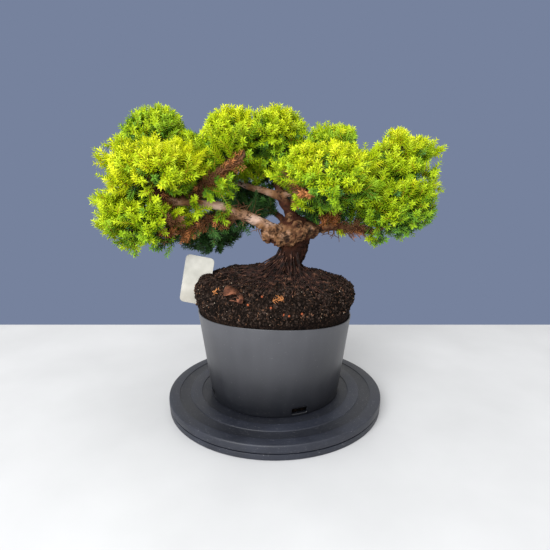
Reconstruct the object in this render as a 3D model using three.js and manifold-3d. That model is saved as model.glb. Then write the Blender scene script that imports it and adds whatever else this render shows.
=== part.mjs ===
// A juniper bonsai in a cut-down nursery pot, standing on a round stand of two plates.
// Millimetres, +Z up, front towards -Y. The origin is the centre of the stand's flat underside.

import * as THREE from 'three';
import { mergeVertices } from 'three/addons/utils/BufferGeometryUtils.js';
import Module from 'manifold-3d';

const wasm = await Module();
wasm.setup();

// Driving dimensions

const GAP = 0.3; // left between pieces that rest on each other
const CUT_GAP = 0.4; // left round a limb where its neighbours are cut clear of it

const STAND = {
  radius: 125, // of the upper plate
  footRadius: 124.5, // of the lower plate
  footHeight: 6.2,
  seam: 1.2, // dark line between the plates
  bearingRadius: 60,
  height: 16,
  edge: 1, // chamfer round both plates
  bands: [113, 100, 87], // radii where the top steps down, up and down again
  bandDepth: 0.8,
  sides: 48,
};

const POT = {
  baseRadius: 75,
  rimRadius: 88,
  height: 97,
  wall: 1.6,
  floor: 2,
  foot: 1.5, // rounding under the wall
  slots: 4, // drain slots round the foot
  slotWidth: 17,
  slotHeight: 6,
  slotTurn: -70, // degrees from +X to the slot in front
  rimFront: 3, // the hand-cut rim stands higher in front
  rimLeft: 3, // and on the left
  rimWave: 1.2,
  sides: 48,
};

// Heights are above the pot's underside.
const ROOT_BALL = {
  shoulder: 126, // the rounded edge of the bare soil
  top: 142.2, // the flat under the trunk
  flat: 36, // radius of that flat
  lump: 1.1, // roughness of the bare soil
  tilt: 0.09, // rise to the left outside the flat
  sides: 32,
};

const LABEL = {
  width: 33,
  height: 57,
  thick: 0.8,
  corner: 5,
  lean: 11, // degrees
  centre: [-90.5, 3, 130.5], // above the pot's underside
};

const TRUNK = {
  foot: [11, 0],
  belly: [31, -1, 186], // pulls the trunk into its lean
  top: [19, 2, 216],
  radius: 14.5,
  flare: 9, // how far the root flare reaches past the trunk
  flareHeight: 0.45, // share of the trunk that the flare takes
  flareLobes: 5,
  burlAcross: 17, // swelling at the fork
  burlForward: 8,
  burlAt: 0.78,
  burlSpread: 0.15,
  burlTilt: 0.07, // the left lobe hangs lower than the right one
  crownFrom: 0.9, // share of the trunk where its top closes in
  sides: 16,
  steps: 12,
};

// A bough leaves its parent at a share of the parent's length, off its middle line by offset,
// and runs to its tip in one curve that bow pulls aside. It tapers from the first radius to the second.
const BOUGHS = {
  left_bough: {
    from: 'trunk', at: 0.76, offset: [-16, -3, -2],
    tip: [-107, -28, 236], bow: [-2, -4, 22], radii: [7.2, 3.4],
  },
  left_lower_bough: {
    from: 'left_bough', at: 0.36, tip: [-101, -18, 203], bow: [0, 0, 8], radii: [4, 2.2],
  },
  left_outer_bough: {
    from: 'left_bough', at: 0.94, tip: [-123, -37, 248], bow: [-3, 0, -2], radii: [3, 2.2],
  },
  left_rising_bough: {
    from: 'left_bough', at: 0.86, tip: [-36, -29, 280], bow: [-4, -6, 6], radii: [3, 2],
  },
  left_top_bough: {
    from: 'left_bough', at: 0.9, tip: [-127, 12, 277], bow: [2, -3, 2], radii: [3.2, 2.2],
  },
  centre_bough: {
    from: 'trunk', at: 0.9, tip: [4, 13, 246], bow: [3, 0, 2], radii: [7.5, 5],
  },
  centre_left_bough: {
    from: 'centre_bough', at: 0.84, tip: [-64, 46, 258], bow: [2, -8, 6], radii: [4.6, 2.6],
  },
  top_bough: {
    from: 'centre_bough', at: 0.93, tip: [0, 25, 284], bow: [3, -2, 0], radii: [3.6, 2.6],
  },
  shoulder_bough: {
    from: 'centre_bough', at: 0.9, offset: [0, 3, 0],
    tip: [50, 18, 268], bow: [0, 2, -4], radii: [3.4, 2.4],
  },
  front_bough: {
    from: 'centre_bough', at: 0.88, tip: [28, -27, 242], bow: [3, 2, 4], radii: [3.4, 2.6],
  },
  right_bough: {
    from: 'trunk', at: 0.8, offset: [16, -1, 0],
    tip: [105, -10, 204], bow: [0, 1, 7], radii: [6, 3.4],
  },
  right_rising_bough: {
    from: 'right_bough', at: 0.74, tip: [124, -6, 257], bow: [-6, 6, 0], radii: [3.2, 2.2],
  },
  back_bough: {
    from: 'trunk', at: 0.82, offset: [-6, 8, 0],
    tip: [-14, 54, 230], bow: [2, -2, 4], radii: [4.6, 2.6],
  },
  back_low_bough: {
    from: 'left_bough', at: 0.46, tip: [-58, 46, 203], bow: [2, -4, 4], radii: [3.6, 2.4],
  },
  back_right_bough: {
    from: 'trunk', at: 0.84, offset: [8, 8, 0],
    tip: [70, 60, 247], bow: [2, 4, -7], radii: [5, 2.8],
  },
  back_top_bough: {
    from: 'centre_bough', at: 0.92, offset: [0, 2, 0],
    tip: [-4, 64, 266], bow: [0, -2, 4], radii: [3.6, 2.4],
  },
};
const LIMB_SIDES = 6;
const BOUGH_STEPS = 6;
const STEM_STEPS = 3;

// A mass of foliage grows from one bough's tip and fills the ellipsoid of its reach,
// up to the borders that it shares with its neighbours.
const MASSES = {
  left_low_foliage: { bough: 'left_lower_bough', centre: [-140, -18, 221], reach: [59, 50, 40] },
  left_front_foliage: { bough: 'left_outer_bough', centre: [-122, -42, 268], reach: [58, 46, 38] },
  left_top_foliage: { bough: 'left_top_bough', centre: [-134, 22, 303], reach: [44, 46, 43] },
  top_left_foliage: { bough: 'left_rising_bough', centre: [-54, 2, 299], reach: [43, 46, 41] },
  top_foliage: { bough: 'top_bough', centre: [-2, 24, 307], reach: [46, 50, 38] },
  shoulder_foliage: { bough: 'shoulder_bough', centre: [64, 12, 286], reach: [42, 48, 36] },
  front_foliage: { bough: 'front_bough', centre: [50, -50, 259], reach: [58, 48, 40] },
  right_top_foliage: { bough: 'right_rising_bough', centre: [132, 0, 278], reach: [53, 52, 39] },
  right_low_foliage: { bough: 'right_bough', centre: [128, -12, 230], reach: [52, 48, 42] },
  back_foliage: { bough: 'back_bough', centre: [-34, 74, 227], reach: [38, 42, 31] },
  back_low_foliage: { bough: 'back_low_bough', centre: [-84, 56, 194], reach: [48, 44, 28] },
  back_left_foliage: { bough: 'centre_left_bough', centre: [-104, 80, 264], reach: [58, 48, 44] },
  back_top_foliage: { bough: 'back_top_bough', centre: [-4, 96, 284], reach: [60, 44, 44] },
  back_right_foliage: { bough: 'back_right_bough', centre: [96, 82, 264], reach: [58, 48, 46] },
};

const FOLIAGE = {
  seed: 20261127,
  areaPerSpray: 1400, // mm2 of the mass's surface to each spray
  shake: 0.5, // how far a twig strays from its even direction
  firstTwig: 0.6, // share of the stem below its first twig
  twigEnd: 0.42, // share of the reach where a twig becomes a spray
  twigRadius: 1.4,
  twigSunk: 4, // length of the twig's end inside its spray
  upTurn: 0.4, // how much a spray turns up towards the light
  ragged: 0.16, // some sprays stop up to this share short of the surface
  core: 0.62, // size of the dense middle against the mass
  coreLump: 0.16, // how uneven that middle is
  border: 0.06, // kept clear between two masses, as a share of their reach
};

const SPRAY = {
  length: 0.66, // against the mass's reach where the spray stands
  width: 0.5, // how far its needles stand out, against its length
  narrowest: 13, // mm
  rings: [{ at: 0.3, radius: 0.26 }, { at: 0.66, radius: 0.22 }], // of the slim core
  forward: 0.62, // how far the needles lean towards the tip
  shortest: 0.5, // needles are drawn in no further than this
  drawStep: 0.05,
};

const GOLDEN_ANGLE = Math.PI * (3 - Math.sqrt(5));
const UP = new THREE.Vector3(0, 0, 1);
const { degToRad, clamp } = THREE.MathUtils;

// Materials

const finish = (color, roughness) => new THREE.MeshStandardMaterial({ color, roughness, metalness: 0 });
const MATERIALS = {
  stand: finish(0x3f424d, 0.55),
  pot: finish(0x4c4d51, 0.45),
  soil: finish(0x2b211d, 1),
  label: finish(0xe4e3dc, 0.5),
  bark: finish(0x7a5844, 0.9),
  foliage: finish(0x8fa71c, 0.7),
};

// Solids and meshes

function solidFrom(geometry) {
  const bare = new THREE.BufferGeometry().setAttribute('position', geometry.getAttribute('position'));
  const merged = mergeVertices(bare.setIndex(geometry.index), 1e-3);
  const corners = merged.index.array;
  const kept = [];
  for (let i = 0; i < corners.length; i += 3) {
    const face = corners.slice(i, i + 3);
    if (new Set(face).size === 3) kept.push(...face); // on a lathe's axis a face has no area
  }
  const vertProperties = merged.getAttribute('position').array;
  return new wasm.Manifold(new wasm.Mesh({ numProp: 3, vertProperties, triVerts: Uint32Array.from(kept) }));
}

function geometryFrom(solid) {
  const { vertProperties, triVerts } = solid.getMesh();
  const geometry = new THREE.BufferGeometry();
  geometry.setAttribute('position', new THREE.BufferAttribute(vertProperties, 3));
  geometry.setIndex(new THREE.BufferAttribute(triVerts, 1));
  geometry.computeVertexNormals();
  return geometry;
}

// The largest body of a solid: loose scraps are dropped and sealed hollows filled.
function mainBody(solid) {
  return solid.decompose().reduce((best, body) => (body.volume() > best.volume() ? body : best));
}

function makePiece(name, solid, material) {
  const mesh = new THREE.Mesh(geometryFrom(mainBody(solid)), material);
  mesh.name = name;
  return mesh;
}

// A profile of [radius, height] points turned about the Z axis.
function turned(profile, sides) {
  const points = profile.map(([radius, height]) => new THREE.Vector2(radius, height));
  return new THREE.LatheGeometry(points, sides).rotateX(Math.PI / 2);
}

function moveVertices(geometry, move) {
  const position = geometry.getAttribute('position');
  const point = new THREE.Vector3();
  for (let i = 0; i < position.count; i += 1) {
    move(point.fromBufferAttribute(position, i));
    position.setXYZ(i, point.x, point.y, point.z);
  }
  return geometry;
}

// A cylinder bent along a curve, with a radius for each share of its length and turn about it.
function bentLimb(curve, sides, steps, radiusAt) {
  const frames = curve.computeFrenetFrames(steps);
  return moveVertices(new THREE.CylinderGeometry(1, 1, 1, sides, steps), (point) => {
    const along = point.y + 0.5;
    const row = Math.round(along * steps);
    const turn = Math.atan2(point.z, point.x);
    const radius = Math.hypot(point.x, point.z) * radiusAt(along, turn);
    point.copy(curve.getPointAt(along));
    point.addScaledVector(frames.normals[row], radius * Math.cos(turn));
    point.addScaledVector(frames.binormals[row], -radius * Math.sin(turn));
  });
}

// Random numbers from 0 to 1 that are the same on every run.
function seededRandom(seed) {
  let state = seed >>> 0;
  return () => {
    state = (Math.imul(state, 1664525) + 1013904223) >>> 0;
    return state / 2 ** 32;
  };
}

// Stand

function makeStand() {
  const { radius, footRadius, footHeight, seam, bearingRadius, height } = STAND;
  const { edge, bands, bandDepth, sides } = STAND;
  const underside = footHeight + seam;
  const floor = height - bandDepth;
  const lower = [
    [0, 0], [footRadius - edge, 0], [footRadius, edge], [footRadius, footHeight],
    [bearingRadius, footHeight], [bearingRadius, underside - GAP], [0, underside - GAP],
  ];
  const upper = [
    [0, underside], [radius - edge, underside], [radius, underside + edge], [radius, height - edge],
    [radius - edge, height], [bands[0], height], [bands[0] - bandDepth, floor], [bands[1], floor],
    [bands[1] - bandDepth, height], [bands[2], height], [bands[2] - bandDepth, floor], [0, floor],
  ];
  return new THREE.Group().add(
    makePiece('stand_base', solidFrom(turned(lower, sides)), MATERIALS.stand),
    makePiece('stand_top', solidFrom(turned(upper, sides)), MATERIALS.stand),
  );
}

// Pot, root ball and label, in a group whose origin is the middle of the pot's underside

const potFoot = STAND.height - STAND.bandDepth + GAP;
const potSlope = (POT.rimRadius - POT.baseRadius) / POT.height;

function potSolid() {
  const { baseRadius, rimRadius, height, wall, floor, foot, slots, slotWidth, slotHeight, slotTurn } = POT;
  const profile = [
    [0, 0], [baseRadius - foot, 0], [baseRadius + potSlope * foot, foot], [rimRadius, height],
    [rimRadius - wall, height], [baseRadius + potSlope * floor - wall, floor], [0, floor],
  ];
  const shell = moveVertices(turned(profile, POT.sides), (point) => {
    if (point.z < height / 2) return;
    const turn = Math.atan2(point.y, point.x);
    const tilt = -POT.rimFront * Math.sin(turn) - POT.rimLeft * Math.cos(turn);
    const rise = tilt + POT.rimWave * Math.sin(3 * turn);
    const radius = Math.hypot(point.x, point.y);
    const spread = (radius + potSlope * rise) / radius; // stays on the wall's slope
    point.set(point.x * spread, point.y * spread, point.z + rise);
  });
  let solid = solidFrom(shell);
  for (let i = 0; i < slots; i += 1) {
    const slot = new THREE.BoxGeometry(baseRadius / 4, slotWidth, slotHeight * 2);
    slot.translate(baseRadius, 0, 0).rotateZ(degToRad(slotTurn) + (2 * Math.PI * i) / slots);
    solid = solid.subtract(solidFrom(slot));
  }
  return solid;
}

// A plate with round corners, standing in the XZ plane and leaning over.
function labelSolid(grow) {
  const { width, height, thick, corner, lean, centre } = LABEL;
  const x = width / 2 + grow - corner;
  const y = height / 2 + grow - corner;
  const quarter = Math.PI / 2;
  const outline = new THREE.Shape();
  outline.absarc(x, -y, corner, -quarter, 0);
  outline.absarc(x, y, corner, 0, quarter);
  outline.absarc(-x, y, corner, quarter, 2 * quarter);
  outline.absarc(-x, -y, corner, 2 * quarter, 3 * quarter);
  const depth = thick + 2 * grow;
  const plate = new THREE.ExtrudeGeometry(outline, { depth, bevelEnabled: false, curveSegments: 4 });
  plate.translate(0, 0, -depth / 2).rotateZ(-degToRad(lean)).rotateX(quarter);
  return solidFrom(plate.translate(...centre));
}

// The soil keeps the pot's taper above the cut rim, and has a slit for the label.
function rootBallSolid() {
  const { shoulder, top, flat, lump, tilt, sides } = ROOT_BALL;
  const inside = (height) => POT.baseRadius + potSlope * height - POT.wall - 2 * GAP;
  const bottom = POT.floor + GAP;
  const rim = POT.height + POT.rimFront + POT.rimLeft;
  const bare = (rim + shoulder) / 2;
  const edge = inside(shoulder);
  const profile = [
    [0, bottom], [inside(bottom) - 1, bottom], [inside(rim), rim], [inside(bare) + 1, bare],
    [edge, shoulder], [edge - 7, shoulder + 7], [edge - 24, shoulder + 10], [flat, top], [0, top],
  ];
  const ball = moveVertices(turned(profile, sides), (point) => {
    const radius = Math.hypot(point.x, point.y);
    if (point.z < rim + 1 || radius < flat + 1) return;
    const turn = Math.atan2(point.y, point.x);
    const bump = lump * (Math.sin(5 * turn + point.z) + Math.sin(8 * turn - radius));
    const spread = 1 + bump / radius;
    const rise = bump - tilt * Math.cos(turn) * (radius - flat);
    point.set(point.x * spread, point.y * spread, point.z + rise);
  });
  return solidFrom(ball).subtract(labelSolid(GAP));
}

function makeVessel() {
  const vessel = new THREE.Group();
  vessel.position.z = potFoot;
  return vessel.add(
    makePiece('pot', potSolid(), MATERIALS.pot),
    makePiece('root_ball', rootBallSolid(), MATERIALS.soil),
    makePiece('plant_label', labelSolid(0), MATERIALS.label),
  );
}

// Trunk and boughs

const limbs = new Map(); // name to its curve, its tip's radius and its solid with room round it
const ground = potFoot + ROOT_BALL.top + GAP;

function makeTrunk() {
  const { foot, belly, top, radius, flare, flareHeight, flareLobes, crownFrom, sides, steps } = TRUNK;
  const start = new THREE.Vector3(...foot, ground);
  const end = new THREE.Vector3(...top);
  const curve = new THREE.QuadraticBezierCurve3(start, new THREE.Vector3(...belly), end);
  const radiusAt = (along, turn) => {
    const spread = Math.max(0, 1 - along / flareHeight) ** 2;
    const lobes = 1 + 0.4 * Math.cos(flareLobes * turn);
    const closing = 1 - 4 * Math.max(0, along - crownFrom);
    return (radius + flare * spread * lobes) * closing;
  };
  const swellBurl = (point) => {
    const along = (point.z - ground) / (end.z - ground);
    const side = curve.getPointAt(clamp(along, 0, 1)).sub(point).divideScalar(-radius);
    const middle = TRUNK.burlAt + TRUNK.burlTilt * Math.tanh(side.x);
    const swell = Math.exp(-(((along - middle) / TRUNK.burlSpread) ** 2));
    const ripple = 1 + 0.14 * Math.sin(point.x / 4) * Math.cos(point.z / 3);
    point.x += TRUNK.burlAcross * swell * ripple * Math.tanh(side.x);
    point.y += TRUNK.burlForward * swell * ripple * Math.tanh(side.y);
    if (along < 0.5 / steps) point.z = ground; // flat cut at soil level
  };
  const shape = (grow) => {
    const limb = bentLimb(curve, sides, steps, (along, turn) => radiusAt(along, turn) + grow);
    return solidFrom(moveVertices(limb, swellBurl));
  };
  limbs.set('trunk', { curve, room: shape(CUT_GAP) });
  return makePiece('trunk', shape(0), MATERIALS.bark);
}

function makeBough(name, { from, at, offset = [0, 0, 0], tip, bow, radii }) {
  const start = limbs.get(from).curve.getPointAt(at).add(new THREE.Vector3(...offset));
  const end = new THREE.Vector3(...tip);
  const pull = start.clone().lerp(end, 0.5).add(new THREE.Vector3(...bow));
  const curve = new THREE.QuadraticBezierCurve3(start, pull, end);
  const [thick, thin] = radii;
  const shape = (grow) => {
    const radiusAt = (along) => thick + (thin - thick) * along + grow;
    return solidFrom(bentLimb(curve, LIMB_SIDES, BOUGH_STEPS, radiusAt));
  };
  const solid = shape(0).subtract(roomOfLimbs()); // cut clear of every limb made before it
  limbs.set(name, { curve, thin, room: shape(CUT_GAP) });
  return makePiece(name, solid, MATERIALS.bark);
}

function roomOfLimbs() {
  return wasm.Manifold.union([...limbs.values()].map((limb) => limb.room));
}

// Foliage

const masses = Object.entries(MASSES).map(([name, { bough, centre, reach }]) => (
  { name, bough, centre: new THREE.Vector3(...centre), reach: new THREE.Vector3(...reach) }));

// How far out a point lies in a mass: 0 at its centre and 1 at its surface.
const depthIn = (mass, point) => point.clone().sub(mass.centre).divide(mass.reach).length();

function isOwnSpace(mass, point, limit) {
  const own = depthIn(mass, point);
  const others = masses.filter((other) => other !== mass);
  return own <= limit && others.every((other) => depthIn(other, point) > own + FOLIAGE.border);
}

function surfaceArea({ x, y, z }) {
  const power = 1.6; // of the usual formula for an ellipsoid
  const mean = ((x * y) ** power + (x * z) ** power + (y * z) ** power) / 3;
  return 4 * Math.PI * mean ** (1 / power);
}

// The i-th of count directions, spread evenly over a sphere and shaken a little.
function evenDirection(i, count, random) {
  const height = 1 - (2 / count) * (i + 0.5 + FOLIAGE.shake * (random() - 0.5));
  const turn = GOLDEN_ANGLE * i + FOLIAGE.shake * (random() - 0.5);
  const flat = Math.sqrt(1 - height * height);
  return new THREE.Vector3(flat * Math.cos(turn), flat * Math.sin(turn), height);
}

// A slim core along +Z from root to tip, with a needle standing out of each of its faces.
function sprayGeometry(length, width) {
  const [lower, upper] = SPRAY.rings.map(({ at, radius }, row) => [0, 1, 2].map((i) => {
    const turn = ((2 * i + row) * Math.PI) / 3;
    return new THREE.Vector3(radius * width * Math.cos(turn), radius * width * Math.sin(turn), at * length);
  }));
  const root = new THREE.Vector3();
  const tip = new THREE.Vector3(0, 0, length);
  const faces = [];
  const addNeedle = (a, b, c) => {
    const base = a.clone().add(b).add(c).divideScalar(3);
    const point = new THREE.Vector3(base.x, base.y, 0).setLength(width);
    point.z = base.z + SPRAY.forward * width;
    faces.push(a, b, point, b, c, point, c, a, point);
  };
  for (let i = 0; i < 3; i += 1) {
    const next = (i + 1) % 3;
    faces.push(root, lower[next], lower[i]);
    addNeedle(lower[i], lower[next], upper[i]);
    addNeedle(lower[next], upper[next], upper[i]);
    addNeedle(upper[i], upper[next], tip);
  }
  return new THREE.BufferGeometry().setFromPoints(faces);
}

// Moves a geometry that points along +Z to a root and an aim.
function aimed(geometry, root, aim, turn = 0) {
  const swing = new THREE.Quaternion().setFromUnitVectors(UP, aim);
  return geometry.rotateZ(turn).applyQuaternion(swing).translate(...root.toArray());
}

function twigSolid(from, to) {
  const line = to.clone().sub(from);
  const twig = new THREE.CylinderGeometry(0.7 * FOLIAGE.twigRadius, FOLIAGE.twigRadius, line.length(), 3, 1);
  twig.rotateX(Math.PI / 2).translate(0, 0, line.length() / 2);
  return solidFrom(aimed(twig, from, line.normalize()));
}

// Draws each needle in towards the spray's root until it lies in the mass's own space.
// Returns false where one would have to be drawn in too far.
function fitSpray(spray, mass, root, limit) {
  let fits = true;
  moveVertices(spray, (point) => {
    const line = point.clone().sub(root);
    for (let share = 1; share > SPRAY.shortest && !isOwnSpace(mass, point, limit);) {
      share -= SPRAY.drawStep;
      point.copy(root).addScaledVector(line, share);
    }
    fits = fits && isOwnSpace(mass, point, limit);
  });
  return fits;
}

// The dense middle of a mass, lumpy and cut clear of the limbs that cross it.
function coreSolid(mass, random, room) {
  const ball = new THREE.IcosahedronGeometry(1, 1).deleteAttribute('normal').deleteAttribute('uv');
  const core = moveVertices(mergeVertices(ball), (point) => {
    point.multiplyScalar(FOLIAGE.core * (1 - FOLIAGE.coreLump * random()));
    point.multiply(mass.reach).add(mass.centre);
  });
  return solidFrom(core).subtract(room);
}

// The stem goes on from the bough's tip to the middle of the mass.
function stemCurve(mass) {
  const { curve } = limbs.get(mass.bough);
  const heading = curve.getTangentAt(1);
  const start = curve.getPointAt(1).addScaledVector(heading, GAP);
  const bend = start.clone().addScaledVector(heading, 0.4 * start.distanceTo(mass.centre));
  return new THREE.QuadraticBezierCurve3(start, bend, mass.centre);
}

function makeMass(mass, index, room) {
  const random = seededRandom(FOLIAGE.seed + index);
  const coreRandom = seededRandom(FOLIAGE.seed - index - 1);
  const stem = stemCurve(mass);
  const { thin } = limbs.get(mass.bough);
  const stemRadius = (along) => thin * (1 - 0.4 * along);
  const joined = [
    solidFrom(bentLimb(stem, LIMB_SIDES, STEM_STEPS, stemRadius)),
    coreSolid(mass, coreRandom, room),
  ];
  const count = Math.round(surfaceArea(mass.reach) / FOLIAGE.areaPerSpray);
  for (let i = 0; i < count; i += 1) {
    const out = evenDirection(i, count, random);
    const twigStart = stem.getPointAt(FOLIAGE.firstTwig + (1 - FOLIAGE.firstTwig) * random());
    const limit = 1 - FOLIAGE.ragged * random();
    const turn = 2 * Math.PI * random();
    const surface = out.clone().multiply(mass.reach);
    const twigEnd = surface.clone().multiplyScalar(FOLIAGE.twigEnd).add(mass.centre);
    const aim = out.clone().divide(mass.reach).normalize().addScaledVector(UP, FOLIAGE.upTurn).normalize();
    const length = SPRAY.length * surface.length();
    const width = Math.max(SPRAY.narrowest, SPRAY.width * length);
    const spray = aimed(sprayGeometry(length, width), twigEnd, aim, turn);
    if (!fitSpray(spray, mass, twigEnd, limit)) continue;
    const sunkEnd = twigEnd.clone().addScaledVector(aim, FOLIAGE.twigSunk);
    const grown = [twigSolid(twigStart, sunkEnd), solidFrom(spray)];
    if (grown.every((solid) => solid.intersect(room).isEmpty())) joined.push(...grown);
  }
  return makePiece(mass.name, wasm.Manifold.union(joined), MATERIALS.foliage);
}

function makePlant() {
  const plant = new THREE.Group().add(makeTrunk());
  Object.entries(BOUGHS).forEach(([name, bough]) => plant.add(makeBough(name, bough)));
  const room = roomOfLimbs();
  masses.forEach((mass, index) => plant.add(makeMass(mass, index, room)));
  return plant;
}

const bonsai = new THREE.Group().add(makeStand(), makeVessel(), makePlant());

export default bonsai;
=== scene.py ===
# %% [markdown]
# # A juniper bonsai in a cut-down pot
# A juniper with a burled trunk grows in a black nursery pot that was cut down by hand, and the pot stands
# on a round stand. The solids of all this are loaded first and stay as they are. They fix where every limb
# and every pad of foliage is, and the script grows the finer plant on them: bark, twigs, shoots and needles.

# %% Load the solids
import itertools
import math
from functools import partial

import bpy
import numpy as np
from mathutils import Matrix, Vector, noise
from mathutils.bvhtree import BVHTree


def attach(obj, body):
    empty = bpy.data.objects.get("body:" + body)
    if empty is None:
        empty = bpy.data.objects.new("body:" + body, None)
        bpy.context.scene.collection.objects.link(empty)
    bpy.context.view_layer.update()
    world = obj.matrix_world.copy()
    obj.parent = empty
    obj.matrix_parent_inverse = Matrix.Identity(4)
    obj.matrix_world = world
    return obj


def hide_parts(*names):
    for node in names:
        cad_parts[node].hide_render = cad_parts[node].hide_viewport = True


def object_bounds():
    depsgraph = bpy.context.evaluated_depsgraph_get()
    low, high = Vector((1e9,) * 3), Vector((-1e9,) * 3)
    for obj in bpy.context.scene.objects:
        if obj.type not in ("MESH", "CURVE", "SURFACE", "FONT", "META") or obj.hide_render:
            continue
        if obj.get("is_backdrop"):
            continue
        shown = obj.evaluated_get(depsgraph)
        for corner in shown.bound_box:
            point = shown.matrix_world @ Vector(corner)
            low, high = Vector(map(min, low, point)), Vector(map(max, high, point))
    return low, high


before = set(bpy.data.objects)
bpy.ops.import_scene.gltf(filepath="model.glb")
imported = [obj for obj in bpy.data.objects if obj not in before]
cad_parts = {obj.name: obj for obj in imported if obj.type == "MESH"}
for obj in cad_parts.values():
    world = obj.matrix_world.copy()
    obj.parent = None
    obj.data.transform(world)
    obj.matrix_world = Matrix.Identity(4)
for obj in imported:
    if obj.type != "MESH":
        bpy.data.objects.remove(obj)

CAD_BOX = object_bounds()
print("solids:", len(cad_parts), "nodes, from", list(CAD_BOX[0]), "to", list(CAD_BOX[1]))

# %% [markdown]
# ## Helpers that every step uses
# A piece is a mesh whose points already lie where they belong, so its object stays at the origin. Lengths
# are in millimetres, as on a drawing, and turn into Blender's metres when the mesh is made. Other helpers
# read the mesh that modifiers show, add a node to a tree, and let a finished piece ride on the plant's body.

# %% Helpers for pieces and nodes
MM = 0.001
BODY = "root"


def clamp(value, low=0.0, high=1.0):
    """A value held between two others."""
    return min(high, max(low, value))


def add_piece(name, mesh):
    """Puts a mesh into the scene as an object."""
    piece = bpy.data.objects.new(name, mesh)
    bpy.context.scene.collection.objects.link(piece)
    return piece


def make_piece(name, points, faces, smooth=True):
    """Makes a piece from points in millimetres and faces."""
    mesh = bpy.data.meshes.new(name)
    mesh.from_pydata((np.asarray(points) * MM).tolist(), [], faces)
    mesh.polygons.foreach_set("use_smooth", [smooth] * len(mesh.polygons))
    mesh.update()
    return add_piece(name, mesh)


def shown_mesh(piece):
    """The mesh that a piece's modifiers show; the modifiers are taken off afterwards."""
    graph = bpy.context.evaluated_depsgraph_get()
    mesh = bpy.data.meshes.new_from_object(piece.evaluated_get(graph), depsgraph=graph)
    mesh.name = piece.name
    piece.modifiers.clear()
    return mesh


def add_node(tree, kind, inputs=None, **options):
    """Adds a node, sets its options, and fills or joins its inputs by name or by place."""
    node = tree.nodes.new(kind)
    for option, value in options.items():
        setattr(node, option, value)
    for key, value in (inputs or {}).items():
        socket = node.inputs[key]
        if isinstance(value, bpy.types.NodeSocket):
            tree.links.new(value, socket)
        else:
            socket.default_value = value
    return node


def calc(tree, operation, *values):
    """The result of a math node."""
    return add_node(tree, "ShaderNodeMath", dict(enumerate(values)), operation=operation).outputs[0]


def hand_over(piece, nodes, finish=None):
    """Dresses a piece, lets it ride on the plant's body and stand for the solids that it covers."""
    if finish is not None:
        piece.data.materials.clear()
        piece.data.materials.append(finish)
    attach(piece, BODY)
    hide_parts(*nodes)
    triangles = sum(len(face.vertices) - 2 for face in piece.data.polygons)
    print(piece.name, "has", triangles, "triangles")


print("helpers ready, one millimetre is", MM, "m")

# %% [markdown]
# ## Finishes from noise
# Moulded plastic, soil and bark all differ from place to place, so each finish mixes two or three colours
# by noise and lets another noise roughen the surface. The noise reads Object coordinates, which are metres
# here: a scale of 1000 makes spots about a millimetre wide.

# %% A finish and its parts


def colour(red, green, blue):
    """Turns a screen colour from 0 to 255 into the linear colour that a shader wants."""
    linear = []
    for value in (red, green, blue):
        share = value / 255
        linear.append(share / 12.92 if share <= 0.04045 else ((share + 0.055) / 1.055) ** 2.4)
    return (*linear, 1.0)


class Finish:
    """A material that is put together from shader nodes."""

    def __init__(self, name, roughness, specular=0.5):
        self.material = bpy.data.materials.new(name)
        self.material.use_nodes = True
        self.tree = self.material.node_tree
        self.shader = self.tree.nodes["Principled BSDF"]
        self.shader.inputs["Roughness"].default_value = roughness
        self.shader.inputs["Specular IOR Level"].default_value = specular
        self.place = self.add("TexCoord").outputs["Object"]

    def add(self, kind, inputs=None, **options):
        """Adds a shader node."""
        return add_node(self.tree, "ShaderNode" + kind, inputs, **options)

    def height(self):
        """The height of a place, in metres."""
        return self.add("SeparateXYZ", {"Vector": self.place}).outputs["Z"]

    def noise(self, scale, detail=3.0, stretch=(1, 1, 1)):
        """A noise value between 0 and 1, stretched along the axes."""
        mapping = self.add("Mapping", {"Vector": self.place, "Scale": stretch})
        inputs = {"Vector": mapping.outputs[0], "Scale": scale, "Detail": detail}
        return self.add("TexNoise", inputs).outputs[0]

    def ramp(self, value, stops):
        """Turns a value into a colour that runs through the given stops."""
        node = self.add("ValToRGB", {"Fac": value})
        elements = node.color_ramp.elements
        while len(elements) < len(stops):
            elements.new(1.0)
        for element, (position, tone) in zip(elements, stops):
            element.position = position
            element.color = tone
        return node.outputs["Color"]

    def mix(self, share, first, second):
        """Mixes two colours; 6 and 7 are the places of the colour sockets of the Mix node."""
        return self.add("Mix", {0: share, 6: first, 7: second}, data_type="RGBA").outputs[2]

    def levels(self, value, low, high, to_low, to_high):
        """Stretches a value from one range to another."""
        inputs = {"Value": value, "From Min": low, "From Max": high, "To Min": to_low, "To Max": to_high}
        return self.add("MapRange", inputs).outputs["Result"]

    def paint(self, base, roughness=None):
        """Gives the shader its colour, and a roughness where that changes from place to place."""
        self.tree.links.new(base, self.shader.inputs["Base Color"])
        if roughness is not None:
            self.tree.links.new(roughness, self.shader.inputs["Roughness"])

    def bump(self, height, strength, distance):
        """Roughens the finish by a height, with the distance in millimetres."""
        relief = self.add("Bump", {"Height": height, "Strength": strength, "Distance": distance * MM})
        self.tree.links.new(relief.outputs["Normal"], self.shader.inputs["Normal"])


def mottled(name, stops, surface, spots, grain=None):
    """A finish with spots of a few colours, and a grain of a scale, detail, strength and depth."""
    skin = Finish(name, *surface)
    skin.paint(skin.ramp(skin.noise(*spots), stops))
    if grain is not None:
        skin.bump(skin.noise(*grain[:2]), *grain[2:])
    return skin.material


print("a mid grey is", [round(value, 3) for value in colour(128, 128, 128)[:3]])

# %% [markdown]
# ## The stand
# The stand is two thick plastic discs with a dark seam between them. The upper one has turned bands: a raised
# rim, a sunken ring, a raised ring and a sunken middle. A lathe makes such a shape from half of its section,
# and each corner of the section is rounded first, because a moulded edge always catches a thin line of light.

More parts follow.
